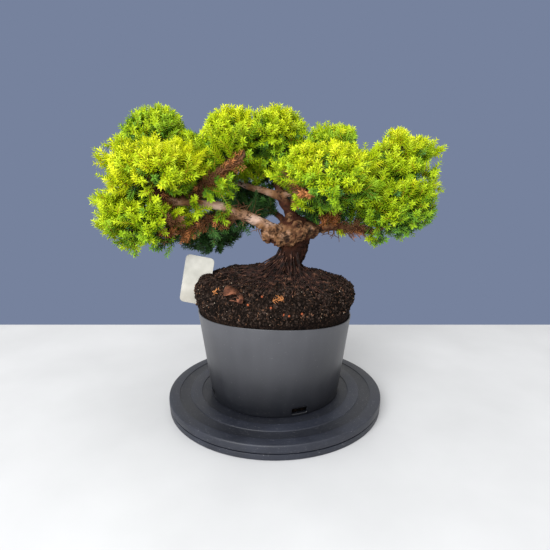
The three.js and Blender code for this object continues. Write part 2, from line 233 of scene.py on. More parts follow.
# %% Turn the stand's two plates
STAND_SIDES = 192
EDGE_STEPS = 3
CORNER_ROOM = 0.45
LOWER_PLATE = [(0, 0, 0), (124.5, 0, 1), (124.5, 6.2, 0.3), (60, 6.2, 0.2), (60, 7.1, 0.2), (0, 7.1, 0)]
UPPER_PLATE = [
    (0, 7.4, 0), (125, 7.4, 1.2), (125, 16, 1.6), (113, 16, 0.4), (113, 15.2, 0.4), (100, 15.2, 0.4),
    (100, 16, 0.4), (87, 16, 0.4), (87, 15.2, 0.4), (0, 15.2, 0),
]


def round_corners(section):
    """Rounds each corner of a section of radius, height and rounding."""
    corners = np.array(section, float)
    rounded = [corners[0, :2]]
    for before, corner, after in zip(corners, corners[1:], corners[2:]):
        into = before[:2] - corner[:2]
        away = after[:2] - corner[:2]
        size = min(corner[2], CORNER_ROOM * np.linalg.norm(into), CORNER_ROOM * np.linalg.norm(away))
        first = corner[:2] + into / np.linalg.norm(into) * size
        last = corner[:2] + away / np.linalg.norm(away) * size
        for step in np.linspace(0, 1, EDGE_STEPS + 1):
            bend = (1 - step) ** 2 * first + 2 * step * (1 - step) * corner[:2] + step ** 2 * last
            rounded.append(bend)
    rounded.append(corners[-1, :2])
    return np.array(rounded)


def skin_faces(first, rings, sides, foot, crown):
    """Faces between rings of points, closed at each end by faces to a middle point."""
    faces = []
    last = first + (rings - 1) * sides
    for side in range(sides):
        beside = (side + 1) % sides
        faces.append((foot, first + beside, first + side))
        for low in range(first, last, sides):
            high = low + sides
            faces.append((low + side, low + beside, high + beside, high + side))
        faces.append((last + side, last + beside, crown))
    return faces


def lathe(section, sides):
    """Turns a section that starts and ends on the axis into points and faces."""
    turns = np.linspace(0, math.tau, sides, endpoint=False)
    points = [(0, 0, section[0][1])]
    for radius, height in section[1:-1]:
        ring = np.stack([radius * np.cos(turns), radius * np.sin(turns), np.full(sides, height)], axis=1)
        points.extend(map(tuple, ring))
    points.append((0, 0, section[-1][1]))
    return np.array(points), skin_faces(1, len(section) - 2, sides, 0, len(points) - 1)


stand_plates = {}
for plate, section in (("stand_base", LOWER_PLATE), ("stand_top", UPPER_PLATE)):
    stand_plates[plate] = make_piece(plate + "_skin", *lathe(round_corners(section), STAND_SIDES))
    print(plate, "has", len(stand_plates[plate].data.vertices), "points")

# %% [markdown]
# The stand's plastic is charcoal with a hint of blue. It is matt, dusty in places, and the turned bands carry
# very fine rings. Rings follow the distance from the axis, so a wave texture of ring type about Z draws them.
# The same distance tells the sunken bands from the raised ones, and the sunken bands are darkened with
# painted shade.

# %% Give the stand its plastic
STAND_DARK = colour(24, 27, 37)
STAND_LIGHT = colour(38, 42, 54)
STAND_DUST = colour(150, 150, 152)
STAND_SUNK_SHADE = colour(14, 16, 22)
STAND_RADIUS = 0.125
SHADED_BAND = colour(200, 200, 200)
UNSHADED_BAND = colour(0, 0, 0)
SUNKEN_BAND_SHADE = [
    # share of the plate's radius, and whether the plate lies sunken there and gets painted shade
    (0.69, SHADED_BAND), (0.7, UNSHADED_BAND), (0.8, UNSHADED_BAND), (0.804, SHADED_BAND), (0.896, SHADED_BAND), (0.908, UNSHADED_BAND),
]


def stand_plastic():
    """Matt charcoal plastic with turned rings, dust, and painted shade in the sunken bands."""
    skin = Finish("stand plastic", 0.48)
    cloud = skin.noise(34, 4)
    raised = skin.ramp(cloud, [(0.3, STAND_DARK), (0.72, STAND_LIGHT)])
    share = (1 / STAND_RADIUS, 1 / STAND_RADIUS, 0)
    flat = skin.add("VectorMath", {0: skin.place, 1: share}, operation="MULTIPLY")
    out = skin.add("VectorMath", {0: flat.outputs[0]}, operation="LENGTH").outputs["Value"]
    # painted shade: the sunken ring and the sunken middle under the pot are mixed towards a darker colour
    base = skin.mix(skin.ramp(out, SUNKEN_BAND_SHADE), raised, STAND_SUNK_SHADE)
    dust = skin.levels(skin.noise(900, 2), 0.66, 0.74, 0.0, 0.45)
    skin.paint(skin.mix(dust, base, STAND_DUST), skin.levels(cloud, 0.25, 0.75, 0.4, 0.58))
    inputs = {"Vector": skin.place, "Scale": 260, "Distortion": 0.4, "Detail": 1}
    rings = skin.add("TexWave", inputs, wave_type="RINGS", rings_direction="Z")
    skin.bump(rings.outputs["Fac"], 0.12, 0.2)
    return skin.material


stand_finish = stand_plastic()
for plate, plate_piece in stand_plates.items():
    hand_over(plate_piece, [plate], stand_finish)

# %% [markdown]
# ## The pot
# The pot is a thin tapered shell of black plastic. Somebody cut its upper part away, so the rim is wavy and
# stands a little higher at the front and at the left. The shell is a lathe again, but each ring near the rim
# is lifted by the wave of the cut. Four drain slots at the foot are cut out with a Boolean modifier, which
# keeps their edges crisp.

# %% Make the pot
POT_FOOT = 15.5
POT_BASE = 75.0
POT_RIM = 88.0
POT_HEIGHT = 97.0
POT_SLOPE = (POT_RIM - POT_BASE) / POT_HEIGHT
POT_WALL = 1.6
POT_FLOOR = 2.0
POT_RECESS = 1.5
POT_SIDES = 144
POT_RINGS = 24
POT_ENDS = 4.0
POT_MIDDLE = 60.0
SLOTS = 4
SLOT_TURN = math.radians(-70)
SLOT_LOW = (61, -8.5, POT_FOOT + POT_RECESS + POT_FLOOR)
SLOT_HIGH = (85, 8.5, SLOT_LOW[2] + 6)
RIM_FRONT = 3.0
RIM_LEFT = 3.0
RIM_WAVE = 1.2
RIM_FADE = 0.12
BOX_FACES = [(0, 1, 3, 2), (4, 6, 7, 5), (0, 4, 5, 1), (2, 3, 7, 6), (0, 2, 6, 4), (1, 5, 7, 3)]


def box(low, high):
    """A box between two corners, as points and faces."""
    return list(itertools.product(*zip(low, high))), BOX_FACES


def rotate(x, y, turn):
    """Turns a flat point, or many, about the origin."""
    return x * math.cos(turn) - y * math.sin(turn), x * math.sin(turn) + y * math.cos(turn)


def rim_rise(turn):
    """How far the cut rim stands above or below its mean height."""
    return -RIM_FRONT * math.sin(turn) - RIM_LEFT * math.cos(turn) + RIM_WAVE * math.sin(3 * turn)


def pot_section():
    """Half of the pot's section, from the middle of the underside round to the middle of the floor."""
    heights = np.linspace(POT_ENDS, POT_HEIGHT - POT_ENDS, POT_RINGS)
    outside = [(POT_BASE + POT_SLOPE * height, height, 0) for height in heights]
    inside = [(radius - POT_WALL, height, 0) for radius, height, _ in reversed(outside)]
    rim = POT_BASE + POT_SLOPE * POT_HEIGHT
    foot = [(0, POT_RECESS, 0), (POT_BASE - 6, POT_RECESS, 0.4), (POT_BASE - 5, 0, 0.6), (POT_BASE, 0, 1.2)]
    lip = [(rim, POT_HEIGHT, 0.5), (rim - POT_WALL, POT_HEIGHT, 0.5)]
    floor = POT_RECESS + POT_FLOOR
    end = [(POT_BASE - POT_WALL + POT_SLOPE * floor, floor, 1.5), (0, floor, 0)]
    return foot + outside + lip + inside + end


def make_pot():
    """The pot's shell with its wavy rim and its slots."""
    points, faces = lathe(round_corners(pot_section()), POT_SIDES)
    for point in points:
        radius = math.hypot(point[0], point[1])
        rise = 0.0
        if radius > POT_MIDDLE:
            lift = max(0.0, point[2] / POT_HEIGHT - RIM_FADE) / (1 - RIM_FADE)
            rise = rim_rise(math.atan2(point[1], point[0])) * lift
            point[:2] *= (radius + POT_SLOPE * rise) / radius
        point[2] += rise + POT_FOOT
    pot = make_piece("pot_shell", points, faces)
    corners, sides = box(SLOT_LOW, SLOT_HIGH)
    for slot in range(SLOTS):
        turn = SLOT_TURN + slot * math.tau / SLOTS
        turned = [(*rotate(x, y, turn), z) for x, y, z in corners]
        cutter = make_piece("slot_cutter", turned, sides, smooth=False)
        cut = pot.modifiers.new("slot", "BOOLEAN")
        cut.operation = "DIFFERENCE"
        cut.solver = "EXACT"
        cut.object = cutter
        pot.data = shown_mesh(pot)
        bpy.data.objects.remove(cutter)
    return pot


pot_piece = make_pot()
print("pot shell has", len(pot_piece.data.vertices), "points")

# %% [markdown]
# Black nursery plastic looks grey when it is scuffed and dusty. Long pale streaks run down the wall, fine
# scratches lie across it, and the foot is darker: painted shade and a painted reflection of the dark stand.

# %% Give the pot its plastic
POT_FOOT_SHADE = colour(16, 18, 24)
POT_GREY = colour(76, 77, 82)
POT_SCUFF = colour(140, 139, 138)
POT_STREAKS = [(0.3, colour(68, 69, 74)), (0.75, POT_GREY)]


def pot_plastic():
    """Satin grey-black plastic with streaks and scuffs, and painted shade and reflection at the foot."""
    skin = Finish("pot plastic", 0.36)
    streaks = skin.noise(60, 4, (1, 1, 0.12))
    # painted shade and painted reflection of the dark stand: the foot is mixed towards near black, up to a
    # height that noise shifts a little
    wander = calc(skin.tree, "MULTIPLY_ADD", skin.noise(22, 3), 0.03, skin.height())
    above_foot_shade = skin.levels(wander, 0.036, 0.122, 0.0, 1.0)
    base = skin.mix(above_foot_shade, POT_FOOT_SHADE, skin.ramp(streaks, POT_STREAKS))
    scuffs = skin.levels(skin.noise(420, 2, (1, 1, 2.2)), 0.7, 0.78, 0.0, 0.4)
    skin.paint(skin.mix(scuffs, base, POT_SCUFF), skin.levels(streaks, 0.25, 0.75, 0.3, 0.46))
    skin.bump(skin.noise(300, 4), 0.1, 0.3)
    return skin.material


hand_over(pot_piece, ["pot"], pot_plastic())

# %% [markdown]
# ## The label
# A plain plastic label with round corners is stuck into the soil and leans to the left. It is bare. A plate
# like this is one outline, given thickness, with a small bevel so that its edge shines a little.

# %% Make the label
LABEL_CENTRE = np.array([-90.5, 3, POT_FOOT + 130.5])
LABEL_WIDTH = 33
LABEL_HEIGHT = 57
LABEL_THICK = 0.8
LABEL_CORNER = 5
LABEL_LEAN = math.radians(11)
LABEL_BEVEL = 0.2
CORNER_POINTS = 7


def make_label():
    """A leaning plate with round corners, thickened by Solidify and softened by Bevel."""
    outline = []
    for corner, (side, rise) in enumerate(((1, 1), (-1, 1), (-1, -1), (1, -1))):
        for step in np.linspace(0, math.pi / 2, CORNER_POINTS):
            turn = step + corner * math.pi / 2
            across = side * (LABEL_WIDTH / 2 - LABEL_CORNER) + LABEL_CORNER * math.cos(turn)
            up = rise * (LABEL_HEIGHT / 2 - LABEL_CORNER) + LABEL_CORNER * math.sin(turn)
            across, up = rotate(across, up, -LABEL_LEAN)
            outline.append(LABEL_CENTRE + (across, 0, up))
    plate = make_piece("label_plate", outline, [tuple(range(len(outline)))], smooth=False)
    thick = plate.modifiers.new("thick", "SOLIDIFY")
    thick.thickness = LABEL_THICK * MM
    thick.offset = 0
    soft = plate.modifiers.new("soft", "BEVEL")
    soft.width = LABEL_BEVEL * MM
    soft.segments = 2
    plate.data = shown_mesh(plate)
    return plate


def label_plastic():
    """Off-white plastic with faint smudges of earth, thicker towards the soil."""
    skin = Finish("label plastic", 0.42)
    smudge = skin.noise(55, 5)
    base = skin.ramp(smudge, [(0.35, colour(178, 177, 168)), (0.65, colour(204, 202, 194))])
    earth = skin.levels(skin.height(), 0.125, 0.15, 0.35, 0.0)
    skin.paint(skin.mix(earth, base, colour(120, 108, 92)), skin.levels(smudge, 0.3, 0.7, 0.5, 0.36))
    skin.bump(skin.noise(240, 3), 0.08, 0.2)
    return skin.material


hand_over(make_label(), ["plant_label"], label_plastic())

# %% [markdown]
# ## The root ball
# The soil kept the shape of the taller pot that it grew in: a tapered side stands bare above the cut rim, and
# the top rises gently to the trunk. It is a lathe with many rings, pushed in and out by noise of three sizes,
# because soil is lumpy at every scale. Below the rim nobody sees it, so the noise fades out there.

# %% Make the root ball
SOIL_SIDES = 200
SOIL_RIM = 103.0
SOIL_SHOULDER = 126.0
SOIL_TOP = 142.2
SOIL_FLAT = 36.0
SOIL_TILT = 0.09
SOIL_RINGS = 64
SOIL_LUMPS = ((21.0, 1.8), (8.0, 2.6), (2.6, 1.3))
SOIL_CLEAR = 0.6
SOIL_GAP = 0.3
SOIL_FADE = 6.0
SOIL_HIDDEN = 60.0
SHOULDER_STARTS = 4.0
SHOULDER_BEND = 14.0


def soil_radius(height):
    """The radius inside the pot's taper, with the same clearance as the solid."""
    return POT_BASE + POT_SLOPE * height - POT_WALL - SOIL_CLEAR


def way_along(points):
    """How far along a path each of its points lies."""
    return np.concatenate([[0], np.cumsum(np.linalg.norm(np.diff(points, axis=0), axis=1))])


def soil_section():
    """Half of the root ball's section, with even steps where it shows."""
    bottom = POT_FLOOR + POT_RECESS + SOIL_GAP
    bare = (SOIL_RIM + SOIL_SHOULDER) / 2
    edge = soil_radius(SOIL_SHOULDER)
    shown = np.array([
        (soil_radius(SOIL_RIM), SOIL_RIM), (soil_radius(bare) + 1, bare), (edge, SOIL_SHOULDER),
        (edge - 7, SOIL_SHOULDER + 7), (edge - 24, SOIL_SHOULDER + 10), (SOIL_FLAT, SOIL_TOP), (2, SOIL_TOP),
    ])
    along = way_along(shown)
    steps = np.linspace(0, along[-1], SOIL_RINGS)
    rings = np.stack([np.interp(steps, along, axis) for axis in shown.T], axis=1)
    hidden = [(0, bottom), (soil_radius(bottom) - 1, bottom), (soil_radius(SOIL_HIDDEN), SOIL_HIDDEN)]
    return np.concatenate([hidden, rings, [(0, SOIL_TOP)]])


def make_soil():
    """The lumpy root ball, as points and faces."""
    points, faces = lathe(soil_section(), SOIL_SIDES)
    for point in points:
        radius = math.hypot(point[0], point[1])
        fade = clamp((point[2] - SOIL_RIM) / SOIL_FADE)
        if fade > 0 and radius > 0:
            lump = 0.0
            for size, swing in SOIL_LUMPS:
                lump += swing * noise.noise(Vector(point) / size)
            slope = clamp((point[2] - SOIL_SHOULDER + SHOULDER_STARTS) / SHOULDER_BEND)
            lump -= slope * SOIL_TILT * point[0] / radius * max(0.0, radius - SOIL_FLAT)
            point[:2] *= 1 + fade * (1 - slope) * lump / radius
            point[2] += fade * slope * lump
        point[2] += POT_FOOT
    return points, faces


soil_points, soil_faces = make_soil()
soil_tree = BVHTree.FromPolygons([tuple(point) for point in soil_points], soil_faces)
soil_piece = make_piece("root_ball_skin", soil_points, soil_faces)
print("root ball from", soil_points[:, 2].min().round(1), "to", soil_points[:, 2].max().round(1), "mm")

# %% [markdown]
# Wet potting soil is nearly black, with brown fibres and a few pale grains. The finish mixes wet and dry
# browns by noise of two scales. It has no shine, so its roughness is high and its specular level low.

# %% Give the soil its finish
WET_EARTH = [(0.35, colour(9, 7, 6)), (0.55, colour(20, 15, 13)), (0.75, colour(54, 41, 34))]
DRY_EARTH = [(0.35, colour(15, 11, 9)), (0.6, colour(40, 30, 25)), (0.8, colour(108, 86, 68))]


def soil_earth():
    """Dark crumbly earth."""
    skin = Finish("soil", 0.95, 0.04)
    grain = skin.noise(520, 5)
    patch = skin.levels(skin.noise(48, 3), 0.45, 0.7, 0, 1)
    skin.paint(skin.mix(patch, skin.ramp(grain, WET_EARTH), skin.ramp(grain, DRY_EARTH)))
    skin.bump(grain, 0.9, 1.2)
    return skin.material


hand_over(soil_piece, ["root_ball"], soil_earth())

# %% [markdown]
# ## Crumbs, scattered by Geometry Nodes
# Loose crumbs, bits of bark and pale grit lie all over the bare soil. One tree does all three: it scatters
# points on the faces above a given height, puts a small rough stone on each, turns and sizes it at random,
# and realizes the result, so that the export gets plain faces.

# %% Build the scatter tree and its stones
STONE_SEED = 3
SCATTER_FLOOR = (POT_FOOT + SOIL_RIM + 2) * MM
STONE_ROUGH = 0.5


def new_tree(name, sockets):
    """Starts a Geometry Nodes tree with a geometry input and output, and named inputs."""
    tree = bpy.data.node_groups.new(name, "GeometryNodeTree")
    tree.interface.new_socket("Geometry", in_out="INPUT", socket_type="NodeSocketGeometry")
    for socket_name, kind in sockets.items():
        tree.interface.new_socket(socket_name, in_out="INPUT", socket_type="NodeSocket" + kind)
    tree.interface.new_socket("Geometry", in_out="OUTPUT", socket_type="NodeSocketGeometry")
    return tree, add_node(tree, "NodeGroupInput").outputs


def close_tree(tree, shapes, finish):
    """Ends a tree: realizes the instances and sets the finish."""
    real = add_node(tree, "GeometryNodeRealizeInstances", {"Geometry": shapes})
    done = add_node(tree, "GeometryNodeSetMaterial", {"Geometry": real.outputs[0], "Material": finish})
    add_node(tree, "NodeGroupOutput", {"Geometry": done.outputs[0]})


def place_copies(tree, given, points, shape, rotation, scale):
    """Puts a copy of a shape on each point, turned and sized, and ends the tree."""
    source = add_node(tree, "GeometryNodeObjectInfo", {"Object": given[shape]}).outputs["Geometry"]
    inputs = {"Points": points, "Instance": source, "Rotation": rotation, "Scale": scale}
    copies = add_node(tree, "GeometryNodeInstanceOnPoints", inputs)
    close_tree(tree, copies.outputs[0], given["Finish"])


def grow_piece(name, source, tree, values):
    """Runs a tree on a source object and keeps the result as a plain mesh."""
    modifier = source.modifiers.new("grow", "NODES")
    modifier.node_group = tree
    for item in tree.interface.items_tree:
        if item.in_out == "INPUT" and item.name in values:
            modifier[item.identifier] = values[item.name]
    mesh = shown_mesh(source)
    mesh.name = name
    return add_piece(name, mesh)


def random_number(tree, low, high, seed, kind="FLOAT"):
    """A random number, or a random vector, for each point."""
    suffix = "_001" if kind == "FLOAT" else ""
    node = add_node(tree, "FunctionNodeRandomValue", data_type=kind)
    for socket in node.inputs:
        if socket.identifier == "Min" + suffix:
            socket.default_value = low
        if socket.identifier == "Max" + suffix:
            socket.default_value = high
    tree.links.new(seed, node.inputs["Seed"])
    return next(socket for socket in node.outputs if socket.identifier == "Value" + suffix)


def scatter_tree():
    """Stones on the faces of a surface above a height."""
    sockets = {"Density": "Float", "Size": "Float", "Floor": "Float", "Seed": "Int", "Stone": "Object"}
    tree, given = new_tree("soil scatter", {**sockets, "Finish": "Material"})
    spot = add_node(tree, "GeometryNodeInputPosition").outputs[0]
    height = add_node(tree, "ShaderNodeSeparateXYZ", {0: spot}).outputs["Z"]
    above = add_node(tree, "FunctionNodeCompare", {0: height, 1: given["Floor"]}, operation="GREATER_THAN")
    inputs = {"Mesh": given["Geometry"], "Selection": above.outputs[0], "Density": given["Density"]}
    spots = add_node(tree, "GeometryNodeDistributePointsOnFaces", {**inputs, "Seed": given["Seed"]})
    turn = random_number(tree, (0, 0, 0), (math.tau,) * 3, given["Seed"], "FLOAT_VECTOR")
    turned = add_node(tree, "FunctionNodeEulerToRotation", {0: turn}).outputs[0]
    size = calc(tree, "MULTIPLY", random_number(tree, 0.5, 1.3, given["Seed"]), given["Size"])
    place_copies(tree, given, spots.outputs["Points"], "Stone", turned, size)
    return tree


def make_stone(name, stretch):
    """A rough stone of twenty faces, one metre across before the tree sizes it."""
    bpy.ops.mesh.primitive_ico_sphere_add(subdivisions=1, radius=0.5)
    stone = bpy.context.active_object
    stone.name = name
    for vertex in stone.data.vertices:
        wobble = 1 + STONE_ROUGH * noise.noise(vertex.co * 3 + Vector((STONE_SEED, 0, 0)))
        vertex.co = Vector(axis * wobble * pull for axis, pull in zip(vertex.co, stretch))
    return stone


soil_scatter = scatter_tree()
crumb_stone = make_stone("crumb_stone", (1.0, 0.85, 0.7))
sliver_stone = make_stone("sliver_stone", (1.7, 0.6, 0.35))
print("scatter tree has", len(soil_scatter.nodes), "nodes")

# %% Scatter the crumbs
CRUMBS = {
    # name: stone, points in a square metre, size in mm, seed, dark colour, light colour
    "soil_crumbs": (crumb_stone, 90000, 3.0, 11, (16, 12, 10), (64, 52, 46)),
    "bark_bits": (sliver_stone, 32000, 2.2, 12, (38, 25, 20), (122, 90, 70)),
    "pale_grit": (crumb_stone, 5200, 1.2, 13, (120, 98, 80), (206, 194, 174)),
}
CRUMB_LOOK = {"surface": (0.9, 0.06), "spots": (210, 2), "grain": (1500, 2, 0.4, 0.3)}

for crumb, (stone, density, size, seed, dark, light) in CRUMBS.items():
    finish = mottled(crumb, [(0.35, colour(*dark)), (0.68, colour(*light))], **CRUMB_LOOK)
    values = {"Density": density, "Size": size * MM, "Floor": SCATTER_FLOOR, "Seed": seed}
    crumb_piece = grow_piece(crumb, soil_piece, soil_scatter, {**values, "Stone": stone, "Finish": finish})
    hand_over(crumb_piece, ["root_ball"])

# %% [markdown]
# ## The limbs
# Trunk and boughs follow the same curves as the solids: each is a bend of three points, and a bough starts at
# a share of the way along the limb that carries it. A stem carries on from each bough's tip to the middle of
# its pad of foliage. All later steps ask these limbs for points and headings.

# %% Lay out the limbs
LIMB_POINTS = 201
HEADING_STEP = 0.005
GROUND = 158.0
GAP = 0.3
TRUNK_BEND = ((11, 0, GROUND), (31, -1, 186), (19, 2, 216))
TRUNK_HEIGHT = TRUNK_BEND[2][2] - GROUND
TRUNK_RADIUS = 14.5
TRUNK_TAPER = 0.6
BOUGHS = {
    # name: carrier, share along it, offset, tip, bow, radius at the start and at the tip
    "left_bough": ("trunk", 0.76, (-16, -3, -2), (-107, -28, 236), (-2, -4, 22), 7.2, 3.4),
    "left_lower_bough": ("left_bough", 0.36, (0, 0, 0), (-101, -18, 203), (0, 0, 8), 4, 2.2),
    "left_outer_bough": ("left_bough", 0.94, (0, 0, 0), (-123, -37, 248), (-3, 0, -2), 3, 2.2),
    "left_rising_bough": ("left_bough", 0.86, (0, 0, 0), (-36, -29, 280), (-4, -6, 6), 3, 2),
    "left_top_bough": ("left_bough", 0.9, (0, 0, 0), (-127, 12, 277), (2, -3, 2), 3.2, 2.2),
    "centre_bough": ("trunk", 0.9, (0, 0, 0), (4, 13, 246), (3, 0, 2), 7.5, 5),
    "centre_left_bough": ("centre_bough", 0.84, (0, 0, 0), (-64, 46, 258), (2, -8, 6), 4.6, 2.6),
    "top_bough": ("centre_bough", 0.93, (0, 0, 0), (0, 25, 284), (3, -2, 0), 3.6, 2.6),
    "shoulder_bough": ("centre_bough", 0.9, (0, 3, 0), (50, 18, 268), (0, 2, -4), 3.4, 2.4),
    "front_bough": ("centre_bough", 0.88, (0, 0, 0), (28, -27, 242), (3, 2, 4), 3.4, 2.6),
    "right_bough": ("trunk", 0.8, (16, -1, 0), (105, -10, 204), (0, 1, 7), 6, 3.4),
    "right_rising_bough": ("right_bough", 0.74, (0, 0, 0), (124, -6, 257), (-6, 6, 0), 3.2, 2.2),
    "back_bough": ("trunk", 0.82, (-6, 8, 0), (-14, 54, 230), (2, -2, 4), 4.6, 2.6),
    "back_low_bough": ("left_bough", 0.46, (0, 0, 0), (-58, 46, 203), (2, -4, 4), 3.6, 2.4),
    "back_right_bough": ("trunk", 0.84, (8, 8, 0), (70, 60, 247), (2, 4, -7), 5, 2.8),
    "back_top_bough": ("centre_bough", 0.92, (0, 2, 0), (-4, 64, 266), (0, -2, 4), 3.6, 2.4),
}


class Limb:
    """A bend of three points that is asked for points, headings and radii at shares of its length."""

    def __init__(self, start, control, end, thick, thin):
        steps = np.linspace(0, 1, LIMB_POINTS)[:, None]
        start, control, end = (np.array(point, float) for point in (start, control, end))
        self.points = (1 - steps) ** 2 * start + 2 * steps * (1 - steps) * control + steps ** 2 * end
        self.along = way_along(self.points)
        self.length = self.along[-1]
        self.thick = thick
        self.thin = thin

    def at(self, share):
        return np.array([np.interp(share * self.length, self.along, axis) for axis in self.points.T])

    def line(self, shares):
        return np.array([self.at(share) for share in shares])

    def heading(self, share):
        step = self.at(min(1.0, share + HEADING_STEP)) - self.at(max(0.0, share - HEADING_STEP))
        return step / np.linalg.norm(step)

    def radius(self, share):
        return self.thick + (self.thin - self.thick) * share


limbs = {"trunk": Limb(*TRUNK_BEND, TRUNK_RADIUS, TRUNK_RADIUS * TRUNK_TAPER)}
for bough, (carrier, share, offset, tip, bow, thick, thin) in BOUGHS.items():
    bough_start = limbs[carrier].at(share) + offset
    bough_middle = (bough_start + tip) / 2 + bow
    limbs[bough] = Limb(bough_start, bough_middle, tip, thick, thin)
print(len(limbs), "limbs,", round(sum(limb.length for limb in limbs.values())), "mm in all")

# %% [markdown]
# ## The wood
# On the real tree one bark runs from the trunk into every bough, with a swollen collar where they join. Tubes
# along the limbs give the shape, but they would cut through each other at the forks. A voxel remesh melts
# them into one closed skin, and the relief of the bark is pressed into that skin afterwards.

# %% Tubes along paths
ASIDE = (0.3, 1.0, 0.2)


def frames_along(points):
    """Two directions square to a path at each of its points, carried along without twist."""
    heading = np.gradient(points, axis=0)
    heading /= np.linalg.norm(heading, axis=1)[:, None]
    first = np.cross(heading[0], ASIDE)
    sides = []
    for direction in heading:
        first = first - direction * first.dot(direction)
        first = first / np.linalg.norm(first)
        sides.append((first, np.cross(direction, first)))
    return np.array(sides)


def tube(points, radii):
    """A closed tube through points, with a radius for each point and each side."""
    frames = frames_along(points)
    sides = radii.shape[1]
    turns = np.linspace(0, math.tau, sides, endpoint=False)
    around = frames[:, 0, None, :] * np.cos(turns)[None, :, None]
    around = around + frames[:, 1, None, :] * np.sin(turns)[None, :, None]
    rings = points[:, None, :] + around * radii[:, :, None]
    corners = np.concatenate([rings.reshape(-1, 3), points[:1], points[-1:]])
    return corners, skin_faces(0, len(points), sides, len(corners) - 2, len(corners) - 1)


def half_round(steps):
    """Half of a ball's section, with a radius of one."""
    turns = np.linspace(-math.pi / 2, math.pi / 2, steps)
    return np.stack([np.cos(turns), np.sin(turns)], axis=1)


def join_shapes(shapes):
    """Joins pairs of points and faces into one pair."""
    points = []
    faces = []
    for corners, sides in shapes:
        shift = sum(len(block) for block in points)
        points.append(corners)
        faces.extend(tuple(corner + shift for corner in side) for side in sides)
    return np.concatenate(points), faces


print("a tube of two rings of four sides has", len(skin_faces(0, 2, 4, 8, 9)), "faces")

# %% Draw a tube for every limb
TUBE_STEP = 2.0
SHORTEST_TUBE = 8
BOUGH_SIDES = 20
TRUNK_SIDES = 56
TRUNK_RINGS = 48
COLLAR = 0.18
COLLAR_LENGTH = 9.0
WANDER = 2.2
WANDER_SIZE = 24
WANDER_SEED = 3
KNOTS = 0.1
KNOT_SIZE = 7
FLARE = 9.0
FLARE_HEIGHT = 0.45
FLARE_LOBES = 5
LOBE_SWELL = 0.4
FLARE_TRIM = 6.0
FOOT_SUNK = 0.2
CROWN_FROM = 0.9
CROWN_CLOSES = 4
BURL_ACROSS = 17.0
BURL_FORWARD = 8.0
BURL_AT = 0.78
BURL_SPREAD = 0.15
BURL_TILT = 0.07
BURL_RIPPLE = 0.14
KNOB_BALL = 0.76
KNOB_SUNK = 0.3
KNOB_FLAT = (1, 1, 0.4)
KNOBS = (
    # centre of a knob of the burl, in mm, its radius, and how far its middle is sunken
    ((-10, -11, 199), 11, 0.6), ((14, -20, 198), 13, 1.4), ((36, -15, 206), 10, 1.0),
    ((25, -19, 211), 8, 0.3), ((1, -16, 206), 8, 0.2), ((47, -4, 204), 8, 0.6), ((28, -20, 200), 8, 0.3),
    ((2, -14, 194), 9, 0.2), ((16, -4, 220), 6, 0.0), ((-12, 5, 200), 10, 0.5),
    ((6, 16, 203), 11, 1.0), ((32, 14, 202), 12, 1.2), ((45, 10, 199), 8, 0.4),
)


def bough_tube(limb):
    """A bough that wanders a little, with a collar at its start."""
    shares = np.linspace(0, 1, max(SHORTEST_TUBE, round(limb.length / TUBE_STEP)))
    points = limb.line(shares)
    for point, share in zip(points, shares):
        sway = noise.noise_vector(Vector(point) / WANDER_SIZE)
        point += np.array(sway) * WANDER * math.sin(math.pi * share)
    collar = 1 + COLLAR * np.exp(-((shares * limb.length / COLLAR_LENGTH) ** 2))
    knots = np.array([1 + KNOTS * noise.noise(Vector(point) / KNOT_SIZE) for point in points])
    radii = limb.radius(shares) * collar * knots
    return tube(points, np.repeat(radii[:, None], BOUGH_SIDES, axis=1))


def trunk_tube():
    """The trunk with its root flare, closing at the crown, and swollen by the burl at the fork."""
    limb = limbs["trunk"]
    shares = np.linspace(0, 1, TRUNK_RINGS)
    points = limb.line(shares)
    turns = np.linspace(0, math.tau, TRUNK_SIDES, endpoint=False)
    low = np.maximum(0, 1 - shares / FLARE_HEIGHT)
    lobes = 1 + LOBE_SWELL * np.cos(FLARE_LOBES * turns)
    closing = 1 - CROWN_CLOSES * np.maximum(0, shares - CROWN_FROM)
    radii = (TRUNK_RADIUS + FLARE * (low ** 2)[:, None] * lobes[None, :]) * closing[:, None]
    corners, faces = tube(points, radii)
    rings = corners[:-2].reshape(len(points), TRUNK_SIDES, 3)
    rings[:, :, 2] += low[:, None] * (points[:, None, 2] - rings[:, :, 2])
    for corner in corners:
        rise = (corner[2] - GROUND) / TRUNK_HEIGHT
        side = (corner - limb.at(clamp(rise))) / TRUNK_RADIUS
        right = math.tanh(side[0])
        swell = math.exp(-(((rise - (BURL_AT + BURL_TILT * right)) / BURL_SPREAD) ** 2))
        ripple = 1 + BURL_RIPPLE * math.sin(corner[0] / 4) * math.cos(corner[2] / 3)
        corner[0] += BURL_ACROSS * swell * ripple * right
        corner[1] += BURL_FORWARD * swell * ripple * math.tanh(side[1])
        corner[0] -= FLARE_TRIM * max(0.0, 1 - rise / FLARE_HEIGHT) * max(0.0, right)
        corner[2] = max(corner[2], GROUND - FOOT_SUNK)
    return corners, faces


def knob_ball(knob):
    """A ball for one knob of the burl, sunk a little into the trunk."""
    points, faces = lathe(half_round(12) * knob["radius"] * KNOB_BALL, BOUGH_SIDES)
    return points + knob["ball"], faces


def place_knob(centre, radius, sunken):
    """Where a knob's ball lies in the burl, and where its outermost point is."""
    spine = limbs["trunk"].at((centre[2] - GROUND) / TRUNK_HEIGHT)
    out = (np.array(centre, float) - spine) * KNOB_FLAT
    out = out / np.linalg.norm(out)
    ball = np.array(centre) - out * radius * KNOB_SUNK
    return {"ball": ball, "pole": ball + out * radius * KNOB_BALL, "radius": radius, "sunken": sunken}


